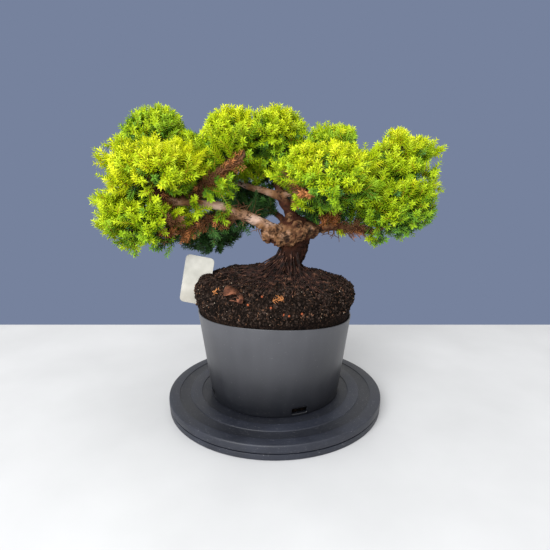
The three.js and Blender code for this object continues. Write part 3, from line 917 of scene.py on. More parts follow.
knobs = [place_knob(*knob) for knob in KNOBS]
noise.seed_set(WANDER_SEED)    # without a seed, noise vectors start from the time of day
wood_shapes = [trunk_tube()]
wood_shapes += [bough_tube(limb) for limb_name, limb in limbs.items() if limb_name != "trunk"]
wood_shapes += [knob_ball(knob) for knob in knobs]
wood_piece = make_piece("wood", *join_shapes(wood_shapes))
print("the tubes have", len(wood_piece.data.polygons), "faces")

# %% Melt the tubes into one skin
VOXEL = 0.85
SMOOTH_TIMES = 4


def melt(piece):
    """Joins the overlapping tubes of a piece by a voxel remesh and smooths the skin."""
    remesh = piece.modifiers.new("melt", "REMESH")
    remesh.mode = "VOXEL"
    remesh.voxel_size = VOXEL * MM
    remesh.use_smooth_shade = True
    smooth = piece.modifiers.new("smooth", "SMOOTH")
    smooth.factor = 0.5
    smooth.iterations = SMOOTH_TIMES
    piece.data = shown_mesh(piece)


melt(wood_piece)
print("the skin has", len(wood_piece.data.vertices), "points")

# %% [markdown]
# ## Bark relief
# Bark is pressed into the skin in the limbs' own directions: furrows run along the trunk, fine wrinkles ring
# the boughs, and the burl is a heap of knobs with sunken middles. For each point of the skin the nearest limb
# is found, and how far along and around it the point lies. Two values are kept with each point for the
# colour: how pale its bark is, and how deep it lies in a furrow, which sets the painted shade of the bark.

# %% Find each point's place on the limbs
PALE = {
    "trunk": 0.02, "left_bough": 0.95, "left_lower_bough": 0.25, "left_outer_bough": 0.45,
    "left_rising_bough": 0.3, "centre_bough": 0.2, "centre_left_bough": 0.85, "front_bough": 0.85,
    "right_bough": 0.34, "right_rising_bough": 0.4,
}
PALE_ELSEWHERE = 0.1
ROUGH = {"centre_bough": 3.0, "right_bough": 2.2, "left_lower_bough": 2.0}
BLEND = 2.5
SPINE_STEP = 2
SHORTEST_SPINE = 12
INSIDE = -6
FAR_OUT = 40


def places_on_limbs(points):
    """For each point: its limb's number, its way along, its turn around and its paleness."""
    best = np.full(len(points), 1e9)
    owner = np.zeros(len(points), int)
    along, around, weight, pale = np.zeros((4, len(points)))
    for number, (limb_name, limb) in enumerate(limbs.items()):
        shares = np.linspace(0, 1, max(SHORTEST_SPINE, round(limb.length / SPINE_STEP)))
        spine = limb.line(shares)
        frames = frames_along(spine)
        squared = (points ** 2).sum(1)[:, None] + (spine ** 2).sum(1)[None, :] - 2 * points @ spine.T
        nearest = squared.argmin(axis=1)
        distance = np.sqrt(np.maximum(0, squared[np.arange(len(points)), nearest]))
        outside = distance - limb.radius(shares[nearest])
        away = points - spine[nearest]
        across = (away * frames[nearest, 0]).sum(1)
        upward = (away * frames[nearest, 1]).sum(1)
        closer = outside < best
        best[closer] = outside[closer]
        owner[closer] = number
        along[closer] = (shares[nearest] * limb.length)[closer]
        around[closer] = np.arctan2(upward, across)[closer]
        share_of = np.exp(-np.clip(outside, INSIDE, FAR_OUT) / BLEND)
        weight += share_of
        pale += share_of * PALE.get(limb_name, PALE_ELSEWHERE)
    return owner, along, around, pale / weight


def read_vectors(mesh, name):
    """A vector that a mesh keeps with each of its points."""
    values = np.empty(len(mesh.vertices) * 3)
    mesh.vertices.foreach_get(name, values)
    return values.reshape(-1, 3)


def keep_values(mesh, name, values):
    """Keeps a number with each point of a mesh."""
    kept = mesh.attributes.new(name, "FLOAT", "POINT")
    kept.data.foreach_set("value", np.array(values, np.float32))


wood_points = read_vectors(wood_piece.data, "co") / MM
wood_normals = read_vectors(wood_piece.data, "normal")
owner, along, around, pale = places_on_limbs(wood_points)
print("mean paleness of the bark", pale.mean().round(2))

# %% Press the bark's relief into the skin
BURL_PALE = 0.44
KNOB_REACH = 1.8
KNOB_EDGE = 1.25
KNOB_DEPTH = 2.4
KNOB_WRINKLE = 0.7
KNOB_UNEVEN = 0.16
WRINKLES = 2.1
WRINKLES_END = 0.9
HOLLOW_WIDTH = 0.42
FURROWS = (5.5, 9)
FURROW_DEPTH = 1.5
GRAIN_DEPTH = 1.2
GRAIN_SIZE = 2.6
SCARS = (1, 5.2, 7)
SCAR_WIDTH = 0.11
SCAR_DEPTH = 0.7
SCAR_PATCH = 8
BOUGH_WRINKLES = (1.6, 3.2)
WRINKLE_DEPTH = 0.35
FLAKE_DEPTH = 0.3
CRUST_COARSE = 1.5
CRUST_FINE = 1.3
CRUST_SUNK = 0.3
limb_names = list(limbs)


def knob_relief(point):
    """The height of the burl's knobs at a point, how far it belongs to them, and how sunken it is, which sets
    its painted shade.
    """
    height = 0.0
    share = 0.0
    hollow = 0.0
    for knob in knobs:
        reach = math.dist(point, knob["pole"]) / knob["radius"]
        if reach < KNOB_REACH:
            bent = reach + KNOB_UNEVEN * noise.noise(Vector(point) / 4)
            wrinkle = math.cos(math.tau * bent * WRINKLES) * math.exp(-((bent / WRINKLES_END) ** 2))
            sunk = math.exp(-((bent / HOLLOW_WIDTH) ** 2)) * knob["sunken"]
            height += KNOB_WRINKLE * wrinkle - KNOB_DEPTH * sunk
            hollow = max(hollow, 0.7 * sunk, -0.55 * wrinkle)
            share = max(share, math.exp(-((reach / KNOB_EDGE) ** 4)))
    return height, share, hollow


def bark_noise(index, turns, length, shift=0.0):
    """Noise on the bark that is stretched along its limb."""
    turn = around[index]
    way = along[index] / length + shift
    return noise.noise(Vector((math.cos(turn) * turns, math.sin(turn) * turns, way)))


def limb_relief(index):
    """The height of plain bark at a point of the skin, and its depth in a furrow, which sets its painted
    shade.
    """
    spot = Vector(wood_points[index])
    if owner[index] == 0:
        furrow = 1 - 2 * abs(bark_noise(index, *FURROWS))
        height = FURROW_DEPTH * furrow * abs(furrow) + GRAIN_DEPTH * noise.noise(spot / GRAIN_SIZE)
        return height, 0.55 - 0.7 * furrow
    wrinkle = bark_noise(index, *BOUGH_WRINKLES)
    ringed = abs(bark_noise(index, *SCARS))
    scar = max(0.0, 1 - ringed / SCAR_WIDTH) * clamp(2.2 * noise.noise(spot / SCAR_PATCH) + 0.35)
    rough = ROUGH.get(limb_names[owner[index]], 1.0)
    flake = rough * noise.noise(spot / (1.6 + 0.8 * rough))
    height = WRINKLE_DEPTH * wrinkle + FLAKE_DEPTH * flake - SCAR_DEPTH * scar
    return height, 0.25 - 0.5 * wrinkle - 0.3 * flake + 1.2 * scar


def bark_relief(index):
    """The bark's height in mm at a point of the skin, its paleness, and its depth in a furrow, which sets its
    painted shade.
    """
    spot = Vector(wood_points[index])
    height, depth = limb_relief(index)
    tone = pale[index] * (0.9 + 0.5 * noise.noise(spot / 11))
    lump, share, hollow = knob_relief(wood_points[index])
    if share > 0.01:
        crust = CRUST_COARSE * noise.noise(spot / 4.5) + CRUST_FINE * noise.noise(spot / 2.0) - CRUST_SUNK
        height = (1 - share) * height + share * (lump + crust)
        tone = (1 - share) * tone + share * (BURL_PALE + 0.4 * noise.noise(spot / 6))
        # painted shade of the burl: its low crust and sunken hollows get more
        depth = (1 - share) * depth + share * (0.4 - 0.5 * crust + 0.9 * hollow)
    return height, tone, depth


relief = np.array([bark_relief(index) for index in range(len(wood_points))])
wood_points += wood_normals * relief[:, :1]
wood_points[:, 2] = np.maximum(wood_points[:, 2], GROUND - 1)
wood_piece.data.vertices.foreach_set("co", (wood_points * MM).ravel())
wood_piece.data.update()
for attribute, column in (("pale", 1), ("furrow", 2)):
    keep_values(wood_piece.data, attribute, relief[:, column])
print("relief from", relief[:, 0].min().round(2), "to", relief[:, 0].max().round(2), "mm")

# %% [markdown]
# The bark's colour reads the two kept values. The trunk is nearly black-brown, the burl tan, and the left
# bough a pinkish grey where old bark has peeled. Furrows, scars and hollows get painted shade, so they are
# darker than the ridges beside them.

# %% Give the wood its bark
BARK_TONES = [
    (0.0, colour(32, 15, 9)), (0.25, colour(68, 38, 25)), (0.5, colour(132, 96, 66)),
    (0.75, colour(154, 120, 98)), (1.0, colour(190, 160, 142)),
]
BARK_PAINTED_SHADE = colour(24, 15, 11)


def bark_finish():
    """Bark that follows the paleness kept with the skin, with painted shade by the depth in the furrows."""
    skin = Finish("bark", 0.9, 0.15)
    tone = skin.add("Attribute", attribute_name="pale").outputs["Fac"]
    depth = skin.add("Attribute", attribute_name="furrow").outputs["Fac"]
    shifted = calc(skin.tree, "MULTIPLY_ADD", skin.noise(130, 4), 0.4, tone)
    base = skin.ramp(skin.levels(shifted, 0.2, 1.2, 0, 1), BARK_TONES)
    # painted shade: the deeper a point lies in a furrow, scar or hollow, the nearer its colour is to a
    # near-black brown
    skin.paint(skin.mix(skin.levels(depth, 0.4, 1.1, 0, 0.9), base, BARK_PAINTED_SHADE))
    skin.bump(skin.noise(900, 4), 0.5, 0.5)
    return skin.material


hand_over(wood_piece, list(limbs), bark_finish())

# %% [markdown]
# ## What the camera sees
# The camera stands where the photographer stood, a little above the rim of the pot and looking slightly down.
# It is set before the foliage grows, because a bonsai is pruned so that its best limbs show from the front:
# the lines from the camera to those limbs, and to a few patches of open sky, are kept free of shoots.

# %% Set the camera and the open lines of sight
CAMERA_PLACE = np.array([0.00017, -0.4834, 0.2556])
CAMERA_TILT = math.radians(12.02)
CAMERA_LENS = 28.1
SENSOR_WIDTH = 36
PHOTO_SIZE = 550
FOCAL = CAMERA_LENS / SENSOR_WIDTH * PHOTO_SIZE
SHOWN_POINTS = 24
SKY_DISTANCE = 1e4
SIGHT_PLAY = 2
SHOWN_LIMBS = {
    # limb: first and last share that shows, and the clear pixels on each side of its middle
    "trunk": (0.4, 1.0, 20),
    "left_bough": (0.0, 1.0, 7),
    "left_rising_bough": (0.1, 0.95, 7),
    "left_outer_bough": (0.0, 0.95, 5),
    "centre_bough": (0.0, 1.0, 10),
    "centre_left_bough": (0.0, 0.5, 7),
    "front_bough": (0.0, 0.36, 6),
    "right_bough": (0.0, 0.5, 8),
}
OPEN_SKY = (
    # column, row and clear pixels round it
    (280, 219, 6), (252, 241, 12), (330, 243, 14), (440, 166, 10), (430, 165, 7),
    (196, 121, 11), (366, 142, 11), (188, 117, 8), (203, 108, 8), (378, 134, 8),
    (416, 127, 10), (430, 130, 7), (441, 135, 7), (308, 119, 5),
)


def seen_at(points):
    """The column, row and distance at which the camera sees points that are given in millimetres."""
    away = np.atleast_2d(points) * MM - CAMERA_PLACE
    ahead = away[:, 1] * math.cos(CAMERA_TILT) - away[:, 2] * math.sin(CAMERA_TILT)
    up = away[:, 1] * math.sin(CAMERA_TILT) + away[:, 2] * math.cos(CAMERA_TILT)
    column = PHOTO_SIZE / 2 + FOCAL * away[:, 0] / ahead
    row = PHOTO_SIZE / 2 - FOCAL * up / ahead
    return np.stack([column, row, ahead / MM], axis=1)


def spot_on_soil(column, row):
    """The point of the soil, in millimetres, that the camera sees at a place in the picture."""
    side = (column - PHOTO_SIZE / 2) / FOCAL
    up = (PHOTO_SIZE / 2 - row) / FOCAL
    ahead = math.cos(CAMERA_TILT) + up * math.sin(CAMERA_TILT)
    rise = up * math.cos(CAMERA_TILT) - math.sin(CAMERA_TILT)
    hit = soil_tree.ray_cast(Vector(CAMERA_PLACE / MM), Vector((side, ahead, rise)))[0]
    return np.array(hit)


shown_spots = []
for limb_name, (first, last, clear) in SHOWN_LIMBS.items():
    for share in np.linspace(first, last, SHOWN_POINTS):
        shown_spots.append((*seen_at(limbs[limb_name].at(share))[0], clear))
for column, row, clear in OPEN_SKY:
    shown_spots.append((column, row, SKY_DISTANCE, clear))
shown_spots = np.array(shown_spots)


def hides_limb(line):
    """Whether a shoot would stand between the camera and a limb that shows."""
    seen = seen_at(line)
    apart = np.linalg.norm(seen[:, None, :2] - shown_spots[None, :, :2], axis=2)
    nearer = seen[:, None, 2] < shown_spots[None, :, 2] + SIGHT_PLAY
    return bool(((apart < shown_spots[None, :, 3]) & nearer).any())


lens = bpy.data.cameras.new("camera")
lens.lens = CAMERA_LENS
lens.sensor_width = SENSOR_WIDTH
camera = bpy.data.objects.new("camera", lens)
camera.location = CAMERA_PLACE
camera.rotation_euler = (math.pi / 2 - CAMERA_TILT, 0, 0)
bpy.context.scene.collection.objects.link(camera)
bpy.context.scene.camera = camera
print("the camera sees the trunk's foot at", seen_at(limbs["trunk"].at(0))[0].round(1))

# %% [markdown]
# ## How the foliage grows
# The solids show each pad of foliage as rough sprays on twigs. Here the same rule runs again with the same
# seed: a stem enters the pad, twigs leave it evenly in all directions, and each pad keeps to its own space
# among its neighbours. The rule is then carried on to finer twigs. Each twig ends in a few sprays, a spray is
# a leader with side shoots, and a shoot is a short line that will carry whorls of needles.

# %% The pads and the seeded rule
SEED = 20261127
MASSES = {
    # name: bough, centre, reach, freshness of its colour, with painted shade in it: the back pads lie in
    # shade and get the lowest
    "left_low_foliage": ("left_lower_bough", (-140, -18, 221), (59, 50, 40), 0.88),
    "left_front_foliage": ("left_outer_bough", (-122, -42, 268), (58, 46, 38), 0.98),
    "left_top_foliage": ("left_top_bough", (-134, 22, 303), (44, 46, 43), 0.62),
    "top_left_foliage": ("left_rising_bough", (-54, 2, 299), (43, 46, 41), 0.78),
    "top_foliage": ("top_bough", (-2, 24, 307), (46, 50, 38), 0.78),
    "shoulder_foliage": ("shoulder_bough", (64, 12, 286), (42, 48, 36), 0.62),
    "front_foliage": ("front_bough", (50, -50, 259), (58, 48, 40), 0.78),
    "right_top_foliage": ("right_rising_bough", (132, 0, 278), (53, 52, 39), 0.78),
    "right_low_foliage": ("right_bough", (128, -12, 230), (52, 48, 42), 0.77),
    "back_foliage": ("back_bough", (-34, 74, 227), (38, 42, 31), 0.12),
    "back_low_foliage": ("back_low_bough", (-84, 56, 194), (48, 44, 28), 0.16),
    "back_left_foliage": ("centre_left_bough", (-104, 80, 264), (58, 48, 44), 0.6),
    "back_top_foliage": ("back_top_bough", (-4, 96, 284), (60, 44, 44), 0.7),
    "back_right_foliage": ("back_right_bough", (96, 82, 264), (58, 48, 46), 0.66),
}
AREA_PER_TWIG = 1400.0
SHAKE = 0.5
FIRST_TWIG = 0.6
TWIG_END = 0.42
UP_TURN = 0.8
RAGGED = 0.16
GOLDEN_TURN = math.pi * (3 - math.sqrt(5))
AREA_POWER = 1.6
UP = np.array([0, 0, 1.0])
RANDOM_FACTOR = 1664525
RANDOM_STEP = 1013904223
RANDOM_RANGE = 2 ** 32


class SeededRandom:
    """The same run of numbers between 0 and 1 each time."""

    def __init__(self, seed):
        self.state = seed % RANDOM_RANGE

    def __call__(self):
        self.state = (self.state * RANDOM_FACTOR + RANDOM_STEP) % RANDOM_RANGE
        return self.state / RANDOM_RANGE

    def between(self, low, high):
        return low + (high - low) * self()


def unit(vector):
    """The direction of a vector."""
    return np.asarray(vector, float) / np.linalg.norm(vector)


def even_direction(index, count, random):
    """One of many directions that are spread evenly and then shaken a little."""
    height = 1 - (2 / count) * (index + 0.5 + SHAKE * (random() - 0.5))
    turn = GOLDEN_TURN * index + SHAKE * (random() - 0.5)
    flat = math.sqrt(max(0.0, 1 - height * height))
    return np.array([flat * math.cos(turn), flat * math.sin(turn), height])


def surface_area(reach):
    """The area of an ellipsoid, near enough."""
    x, y, z = (np.array(reach) ** AREA_POWER).tolist()
    return 4 * math.pi * ((x * y + x * z + y * z) / 3) ** (1 / AREA_POWER)


def depths(point):
    """How deep a point lies in each pad: 0 at the middle, 1 at the reach."""
    return np.linalg.norm((point - mass_centres) / mass_reaches, axis=1)


mass_centres = np.array([mass[1] for mass in MASSES.values()], float)
mass_reaches = np.array([mass[2] for mass in MASSES.values()], float)
crown_area = sum(surface_area(reach) for reach in mass_reaches)
print(len(MASSES), "pads with", round(crown_area / 100), "square centimetres of surface")

# %% [markdown]
# ## Shoots and sprays
# Two rules keep the crown natural. Where two pads meet, the valley between them is filled a little, because
# their depths are melted into one soft depth. And a spray is drawn in until its needles, which stand a few
# millimetres past the shoot's tip, stay inside the pad's reach.

# %% Shoots, sprays and where they may grow
SPRAY_ROOT = 0.5
SIDE_SHOOTS = 4
SIDE_ANGLE = math.radians(46)
SIDE_ANGLES = (0.75, 1.2)
SIDE_LENGTHS = (0.55, 0.85)
SIDE_LIFT = 0.12
SIDE_TONES = (-0.1, 0.06)
LIFT = 0.14
BEND = 0.08
SHOOT_POINTS = 4
SPINE_STRIDE = 8
NEEDLE_ROOM = 5.2
SHORTEST = 8.0
MELT = 4.5
SHARED = 0.12
LIMB_CLEAR = 5.0
DEAD = -1.0
DRY = -2.0
ROOM_STEPS = (1.36, 1.24, 1.12, 1.0, 0.88, 0.76, 0.64, 0.52)

shoots = []
twig_lines = []
limb_spines = np.concatenate([limb.points[::SPINE_STRIDE] for limb in limbs.values()])
stride_points = LIMB_POINTS // SPINE_STRIDE + 1
limb_radii = np.concatenate([np.linspace(limb.thick, limb.thin, stride_points) for limb in limbs.values()])


def clear_of_limbs(point):
    """How far a point lies from the skin of the nearest limb."""
    return (np.linalg.norm(limb_spines - point, axis=1) - limb_radii).min()


def soft_depth(point):
    """The depths in all pads melted into one, lower where pads meet."""
    return -math.log(np.exp(-MELT * depths(point)).sum()) / MELT


def square_to(direction, random):
    """A random direction at right angles to another."""
    side = np.array([random() - 0.5, random() - 0.5, random() - 0.5])
    return unit(np.cross(direction, side + (0.01, 0.02, 0.03)))


def shoot_line(root, aim, length, random, droop=0.0):
    """A shoot as a few points that bend upwards or droop."""
    lift = UP * (LIFT - droop) * length
    bend = square_to(aim, random) * length * BEND
    steps = np.linspace(0, 1, SHOOT_POINTS)[:, None]
    return root + aim * length * steps + lift * steps ** 2 + bend * np.sin(math.pi * steps)


def add_shoot(line, freshness_and_light, pruned):
    """Keeps a shoot, unless it is pruned because it would hide a limb that shows."""
    if not (pruned and hides_limb(line)):
        shoots.append((line, freshness_and_light, 1.0))


def own_share(pad, limit, start, direction, wanted):
    """How much of a shoot stays in its pad's own space."""
    for share in ROOM_STEPS:
        tip = start + (direction + UP * LIFT) * wanted * share + direction * NEEDLE_ROOM
        reached = depths(tip)
        if soft_depth(tip) <= limit and reached[pad] - reached.min() < SHARED:
            return share
    return 0.0


def grow_spray(root, aim, length, freshness_and_light, random, room=None):
    """A leader and its side shoots, each as long as its room allows; a sprig with no room given is free."""
    pruned = room is not None
    if pruned:
        length *= room(root, aim, length)
    if length < SHORTEST:
        return
    add_shoot(shoot_line(root, aim, length, random), freshness_and_light, pruned)
    side = square_to(aim, random)
    other = np.cross(aim, side)
    first_turn = random() * math.tau
    for shoot in range(SIDE_SHOOTS):
        place = (shoot + 0.6 + 0.5 * random()) / (SIDE_SHOOTS + 1.3)
        turn = first_turn + GOLDEN_TURN * shoot
        angle = SIDE_ANGLE * random.between(*SIDE_ANGLES)
        out = side * math.cos(turn) + other * math.sin(turn)
        direction = unit(aim * math.cos(angle) + out * math.sin(angle) + UP * SIDE_LIFT)
        start = root + aim * length * place
        wanted = length * random.between(*SIDE_LENGTHS) * (1.15 - 0.55 * place)
        if pruned:
            wanted *= room(start, direction, wanted)
        if wanted >= SHORTEST:
            line = shoot_line(start, direction, wanted, random)
            shift = random.between(*SIDE_TONES) if freshness_and_light > DEAD else 0.0
            add_shoot(line, freshness_and_light + shift, pruned)


print("limbs are kept clear by", LIMB_CLEAR, "mm")

# %% [markdown]
# A pad grows from the inside out: first its stem and twigs, then the sprays that make its lumpy surface, and
# last some single shoots inside, darker as painted shade, so that nobody looks through it. Sprays that face
# up get a fresher tint as painted light, sprays in the shade of other pads a darker tint as painted shade,
# and a few of the lowest are withered, because little light reaches them.

# %% Stems and twigs
TWIG_RADII = np.array([1.3, 1.0, 0.8])
TWIG_ARCH = 0.08
STEM_REACH = 0.4
STEM_TAPER = 0.6
STEM_POINTS = 9
SHADE_ABOVE = 15


def grow_stem(bough, centre):
    """The bend from a bough's tip to the middle of its pad."""
    limb = limbs[bough]
    heading = limb.heading(1.0)
    start = limb.at(1.0) + heading * GAP
    control = start + heading * STEM_REACH * np.linalg.norm(centre - start)
    stem = Limb(start, control, centre, limb.thin, limb.thin * STEM_TAPER)
    shares = np.linspace(0, 1, STEM_POINTS)
    twig_lines.append((stem.line(shares), stem.radius(shares)))
    return stem


def grow_twigs(stem, centre, reach, random):
    """The twigs of a pad by the solids' own rule: direction, end and how far the foliage reaches there."""
    count = round(surface_area(reach) / AREA_PER_TWIG)
    twigs = []
    for number in range(count):
        out = even_direction(number, count, random)
        start = stem.at(FIRST_TWIG + (1 - FIRST_TWIG) * random())
        limit = 1 - RAGGED * random()
        random()    # the solids' rule draws a number here that only they use
        end = centre + TWIG_END * out * reach
        middle = (start + end) / 2 + UP * TWIG_ARCH * np.linalg.norm(end - start)
        twig_lines.append((np.array([start, middle, end]), TWIG_RADII))
        twigs.append((out, end, limit))
    return twigs


def shade_at(point):
    """How far other pads stand over a point: 0 under open sky, 1 under the middle of a pad."""
    over = mass_centres[:, 2] > point[2] + SHADE_ABOVE
    beside = np.linalg.norm((mass_centres - point)[:, :2] / mass_reaches[:, :2], axis=1)
    return min(1.0, np.maximum(0, 1 - beside)[over].sum())


print("a twig is", TWIG_RADII[0], "mm thick at its start")

# %% Grow every pad
AREA_PER_SPRAY = 330.0
DOME = 0.08
DOME_EDGE = 0.12
LUMPS = 0.24
LUMP_SIZE = 22.0
SHALLOWEST = 0.74
LIMIT_PLAY = 0.1
ROOT_PLAY = (0.85, 1.1)
AIM_PLAY = 0.35
STRETCH = 1.1
TONE_PLAY = (-0.14, 0.12)
INNER_SHARE = 0.9
INNER_DEPTH = (0.25, 0.65)
INNER_TURN = 0.8
INNER_LENGTH = (12, 20)
INNER_DROOP = 0.2
INNER_LIMIT = 0.78
INNER_SHADED_FRESHNESS = (0.28, 0.6)
LIGHT_FROM_ABOVE = 0.2
SHADE = 0.2
WITHERED_BELOW = -0.5
WITHERED_INWARD = 0.15
WITHERED_SHARE = 0.3
DRY_SHARE = 0.3
WITHERED_PADS = ("left_low_foliage", "front_foliage")
SPRAY_RADII = np.array([0.8, 0.6, 0.5])


def grow_inner(pad, centre, reach, pad_fresh_and_light, count, random):
    """Single shoots inside a pad, given darker tints as painted shade."""
    for number in range(count):
        out = even_direction(number, count, random)
        root = centre + out * reach * random.between(*INNER_DEPTH)
        aim = unit(out + INNER_TURN * square_to(out, random))
        length = random.between(*INNER_LENGTH)
        line = shoot_line(root, aim, length, random, INNER_DROOP)
        sunk = soft_depth(line[-1]) < INNER_LIMIT
        if sunk and depths(root).argmin() == pad and clear_of_limbs(line[-1]) > LIMB_CLEAR:
            # painted shade: inner shoots keep only part of the pad's freshness, so they get darker tints
            add_shoot(line, pad_fresh_and_light * random.between(*INNER_SHADED_FRESHNESS), True)


def grow_pad(pad, bough, centre, reach, pad_fresh_and_light, withers):
    """The stem, twigs and sprays of one pad; some sprays of its underside may be withered."""
    random = SeededRandom(SEED + pad)
    centre = np.array(centre, float)
    reach = np.array(reach, float)
    twigs = grow_twigs(grow_stem(bough, centre), centre, reach, random)
    outs = np.array([twig[0] for twig in twigs])
    count = round(surface_area(reach) / AREA_PER_SPRAY)
    for number in range(count):
        out = even_direction(number, count, random)
        closeness = outs @ out
        carrier = closeness.argmax()
        _, twig_end, twig_limit = twigs[carrier]
        dome = 1 - DOME * min(1.0, (1 - closeness[carrier]) / DOME_EDGE)
        surface = out * reach
        lump = 1 + LUMPS * noise.noise(Vector(centre + surface) / LUMP_SIZE)
        limit = clamp(twig_limit * dome * lump + LIMIT_PLAY * random(), SHALLOWEST)
        crowd = depths(centre + surface * limit)
        if crowd[pad] - crowd.min() > SHARED:
            continue
        root = centre + surface * SPRAY_ROOT * random.between(*ROOT_PLAY)
        if clear_of_limbs(root) < LIMB_CLEAR:
            continue
        upward = unit(out / reach)
        aim = unit(upward + UP * UP_TURN + AIM_PLAY * square_to(out, random))
        length = (limit - SPRAY_ROOT) * np.linalg.norm(surface) * STRETCH
        # painted light and shade in the tint: sprays that face up get fresher, brighter tints, and sprays
        # under other pads get darker ones
        light = LIGHT_FROM_ABOVE * (upward[2] - 0.1) - SHADE * shade_at(root)
        freshness_and_light = pad_fresh_and_light + light + random.between(*TONE_PLAY)
        inward = -math.copysign(1.0, centre[0]) * out[0]
        below = upward[2] < WITHERED_BELOW and inward > WITHERED_INWARD
        if withers and below and random() < WITHERED_SHARE:
            freshness_and_light = DRY if random() < DRY_SHARE else DEAD
        twig_lines.append((np.array([twig_end, (twig_end + root) / 2, root]), SPRAY_RADII))
        grow_spray(root, aim, length, freshness_and_light, random, partial(own_share, pad, limit))
    grow_inner(pad, centre, reach, pad_fresh_and_light, round(count * INNER_SHARE), random)


for pad, (mass, (bough, centre, reach, pad_fresh_and_light)) in enumerate(MASSES.items()):
    before = len(shoots)
    grow_pad(pad, bough, centre, reach, pad_fresh_and_light, mass in WITHERED_PADS)
    print(mass, "has", len(shoots) - before, "shoots")

# %% [markdown]
# ## Single sprigs and dead needles
# Some sprigs grow straight from the old limbs, in front of the wood or hanging below the pads, and tufts
# round off the edges of a few pads. Old limbs also keep a coat of dead brown needles, which lies close to
# the bark, and dead twigs and dry sprigs that stand off it.

# %% Where the sprigs grow
# the sprigs with the lowest freshness, about 0.1, are dark fills of painted shade behind and under the limbs
SPRIGS = (
    # limb, then each sprig's share along it, aim, length in mm and freshness
    ("left_rising_bough", (0.3, (0.85, -0.35, -0.3), 34, 0.55), (0.55, (0.6, -0.3, -0.4), 26, 0.55)),
    ("left_bough", (0.84, (0.45, -0.6, -0.5), 24, 0.62), (0.62, (0.3, -0.3, -0.8), 18, 0.55)),
    ("front_bough", (0.9, (-0.6, -0.45, 0.75), 34, 0.72), (0.75, (-0.55, -0.5, 0.6), 40, 0.72),
        (0.6, (-0.25, -0.6, 0.75), 40, 0.7), (0.8, (0.15, -0.7, -0.55), 26, 0.66)),
    ("left_lower_bough", (1.0, (-0.8, -0.3, -0.45), 34, 0.4), (0.8, (-0.1, -0.2, -0.95), 11, 0.3),
        (0.6, (0.5, 0.2, -0.8), 24, 0.2)),
    ("right_bough", (1.0, (0.2, -0.4, -0.85), 15, 0.66), (0.46, (0.3, -0.5, -0.6), 11, 0.8)),
    ("back_bough", (0.45, (-0.7, -0.2, 0.5), 20, 0.1), (0.55, (-0.5, 0.2, 0.6), 26, 0.15),
        (0.8, (-0.3, -0.4, 0.5), 28, 0.15)),
    ("centre_left_bough", (0.4, (0.1, -0.4, 0.8), 30, 0.7), (0.6, (0.2, -0.6, 0.7), 32, 0.7),
        (0.8, (0.2, -0.7, 0.5), 30, 0.66), (0.7, (0.0, 0.3, -0.8), 30, 0.12),
        (0.95, (0.4, -0.3, -0.8), 32, 0.2)),
    ("left_bough", (0.25, (-0.2, 0.7, 0.5), 28, 0.1), (0.36, (-0.2, 0.6, -0.7), 26, 0.08),
        (0.5, (-0.3, 0.5, -0.75), 28, 0.12), (0.5, (0.0, 0.8, 0.5), 34, 0.12),
        (0.68, (-0.1, 0.6, 0.7), 34, 0.3)),
    ("right_bough", (0.16, (0.1, 0.5, 0.8), 26, 0.4), (0.34, (-0.2, 0.3, 0.9), 28, 0.45),
        (0.5, (0.2, 0.3, 0.9), 28, 0.45), (0.68, (0.0, 0.1, 0.9), 28, 0.5),
        (0.34, (0.3, -0.2, 0.9), 17, DRY), (0.2, (0.4, -0.3, 0.9), 13, DRY),
        (0.3, (0.1, 0.4, 0.9), 24, 0.35), (0.45, (0.3, 0.5, 0.8), 26, 0.3),
        (0.6, (-0.2, 0.4, 0.9), 24, 0.35), (0.0, (0.1, 0.5, 0.85), 22, 0.2)),
    ("centre_bough", (0.2, (0.8, 0.3, 0.4), 22, 0.2)),
    ("left_rising_bough", (0.45, (-0.3, 0.3, 0.9), 38, 0.62), (0.6, (-0.5, 0.1, 0.85), 36, 0.7),
        (0.75, (-0.4, -0.1, 0.9), 32, 0.72), (0.9, (-0.2, -0.3, 0.9), 28, 0.75)),
    ("centre_bough", (0.55, (0.6, 0.6, 0.4), 26, 0.1), (0.8, (0.5, 0.7, 0.2), 30, 0.1),
        (0.35, (0.7, 0.4, 0.5), 24, 0.08), (0.95, (0.8, 0.4, -0.3), 26, 0.12)),
    ("right_bough", (0.04, (0.1, 0.7, 0.7), 24, 0.08), (0.26, (0.1, 0.6, 0.8), 26, 0.12),
        (0.42, (-0.1, 0.4, 0.9), 24, 0.15)),
    ("back_right_bough", (0.2, (0.3, 0.2, 0.9), 24, 0.1), (0.5, (-0.4, -0.1, 0.9), 26, 0.12),
        (0.35, (0.2, -0.3, 0.9), 26, 0.15), (0.6, (0.3, -0.5, -0.5), 28, 0.15),
        (0.85, (0.3, -0.6, -0.6), 32, 0.2)),
)
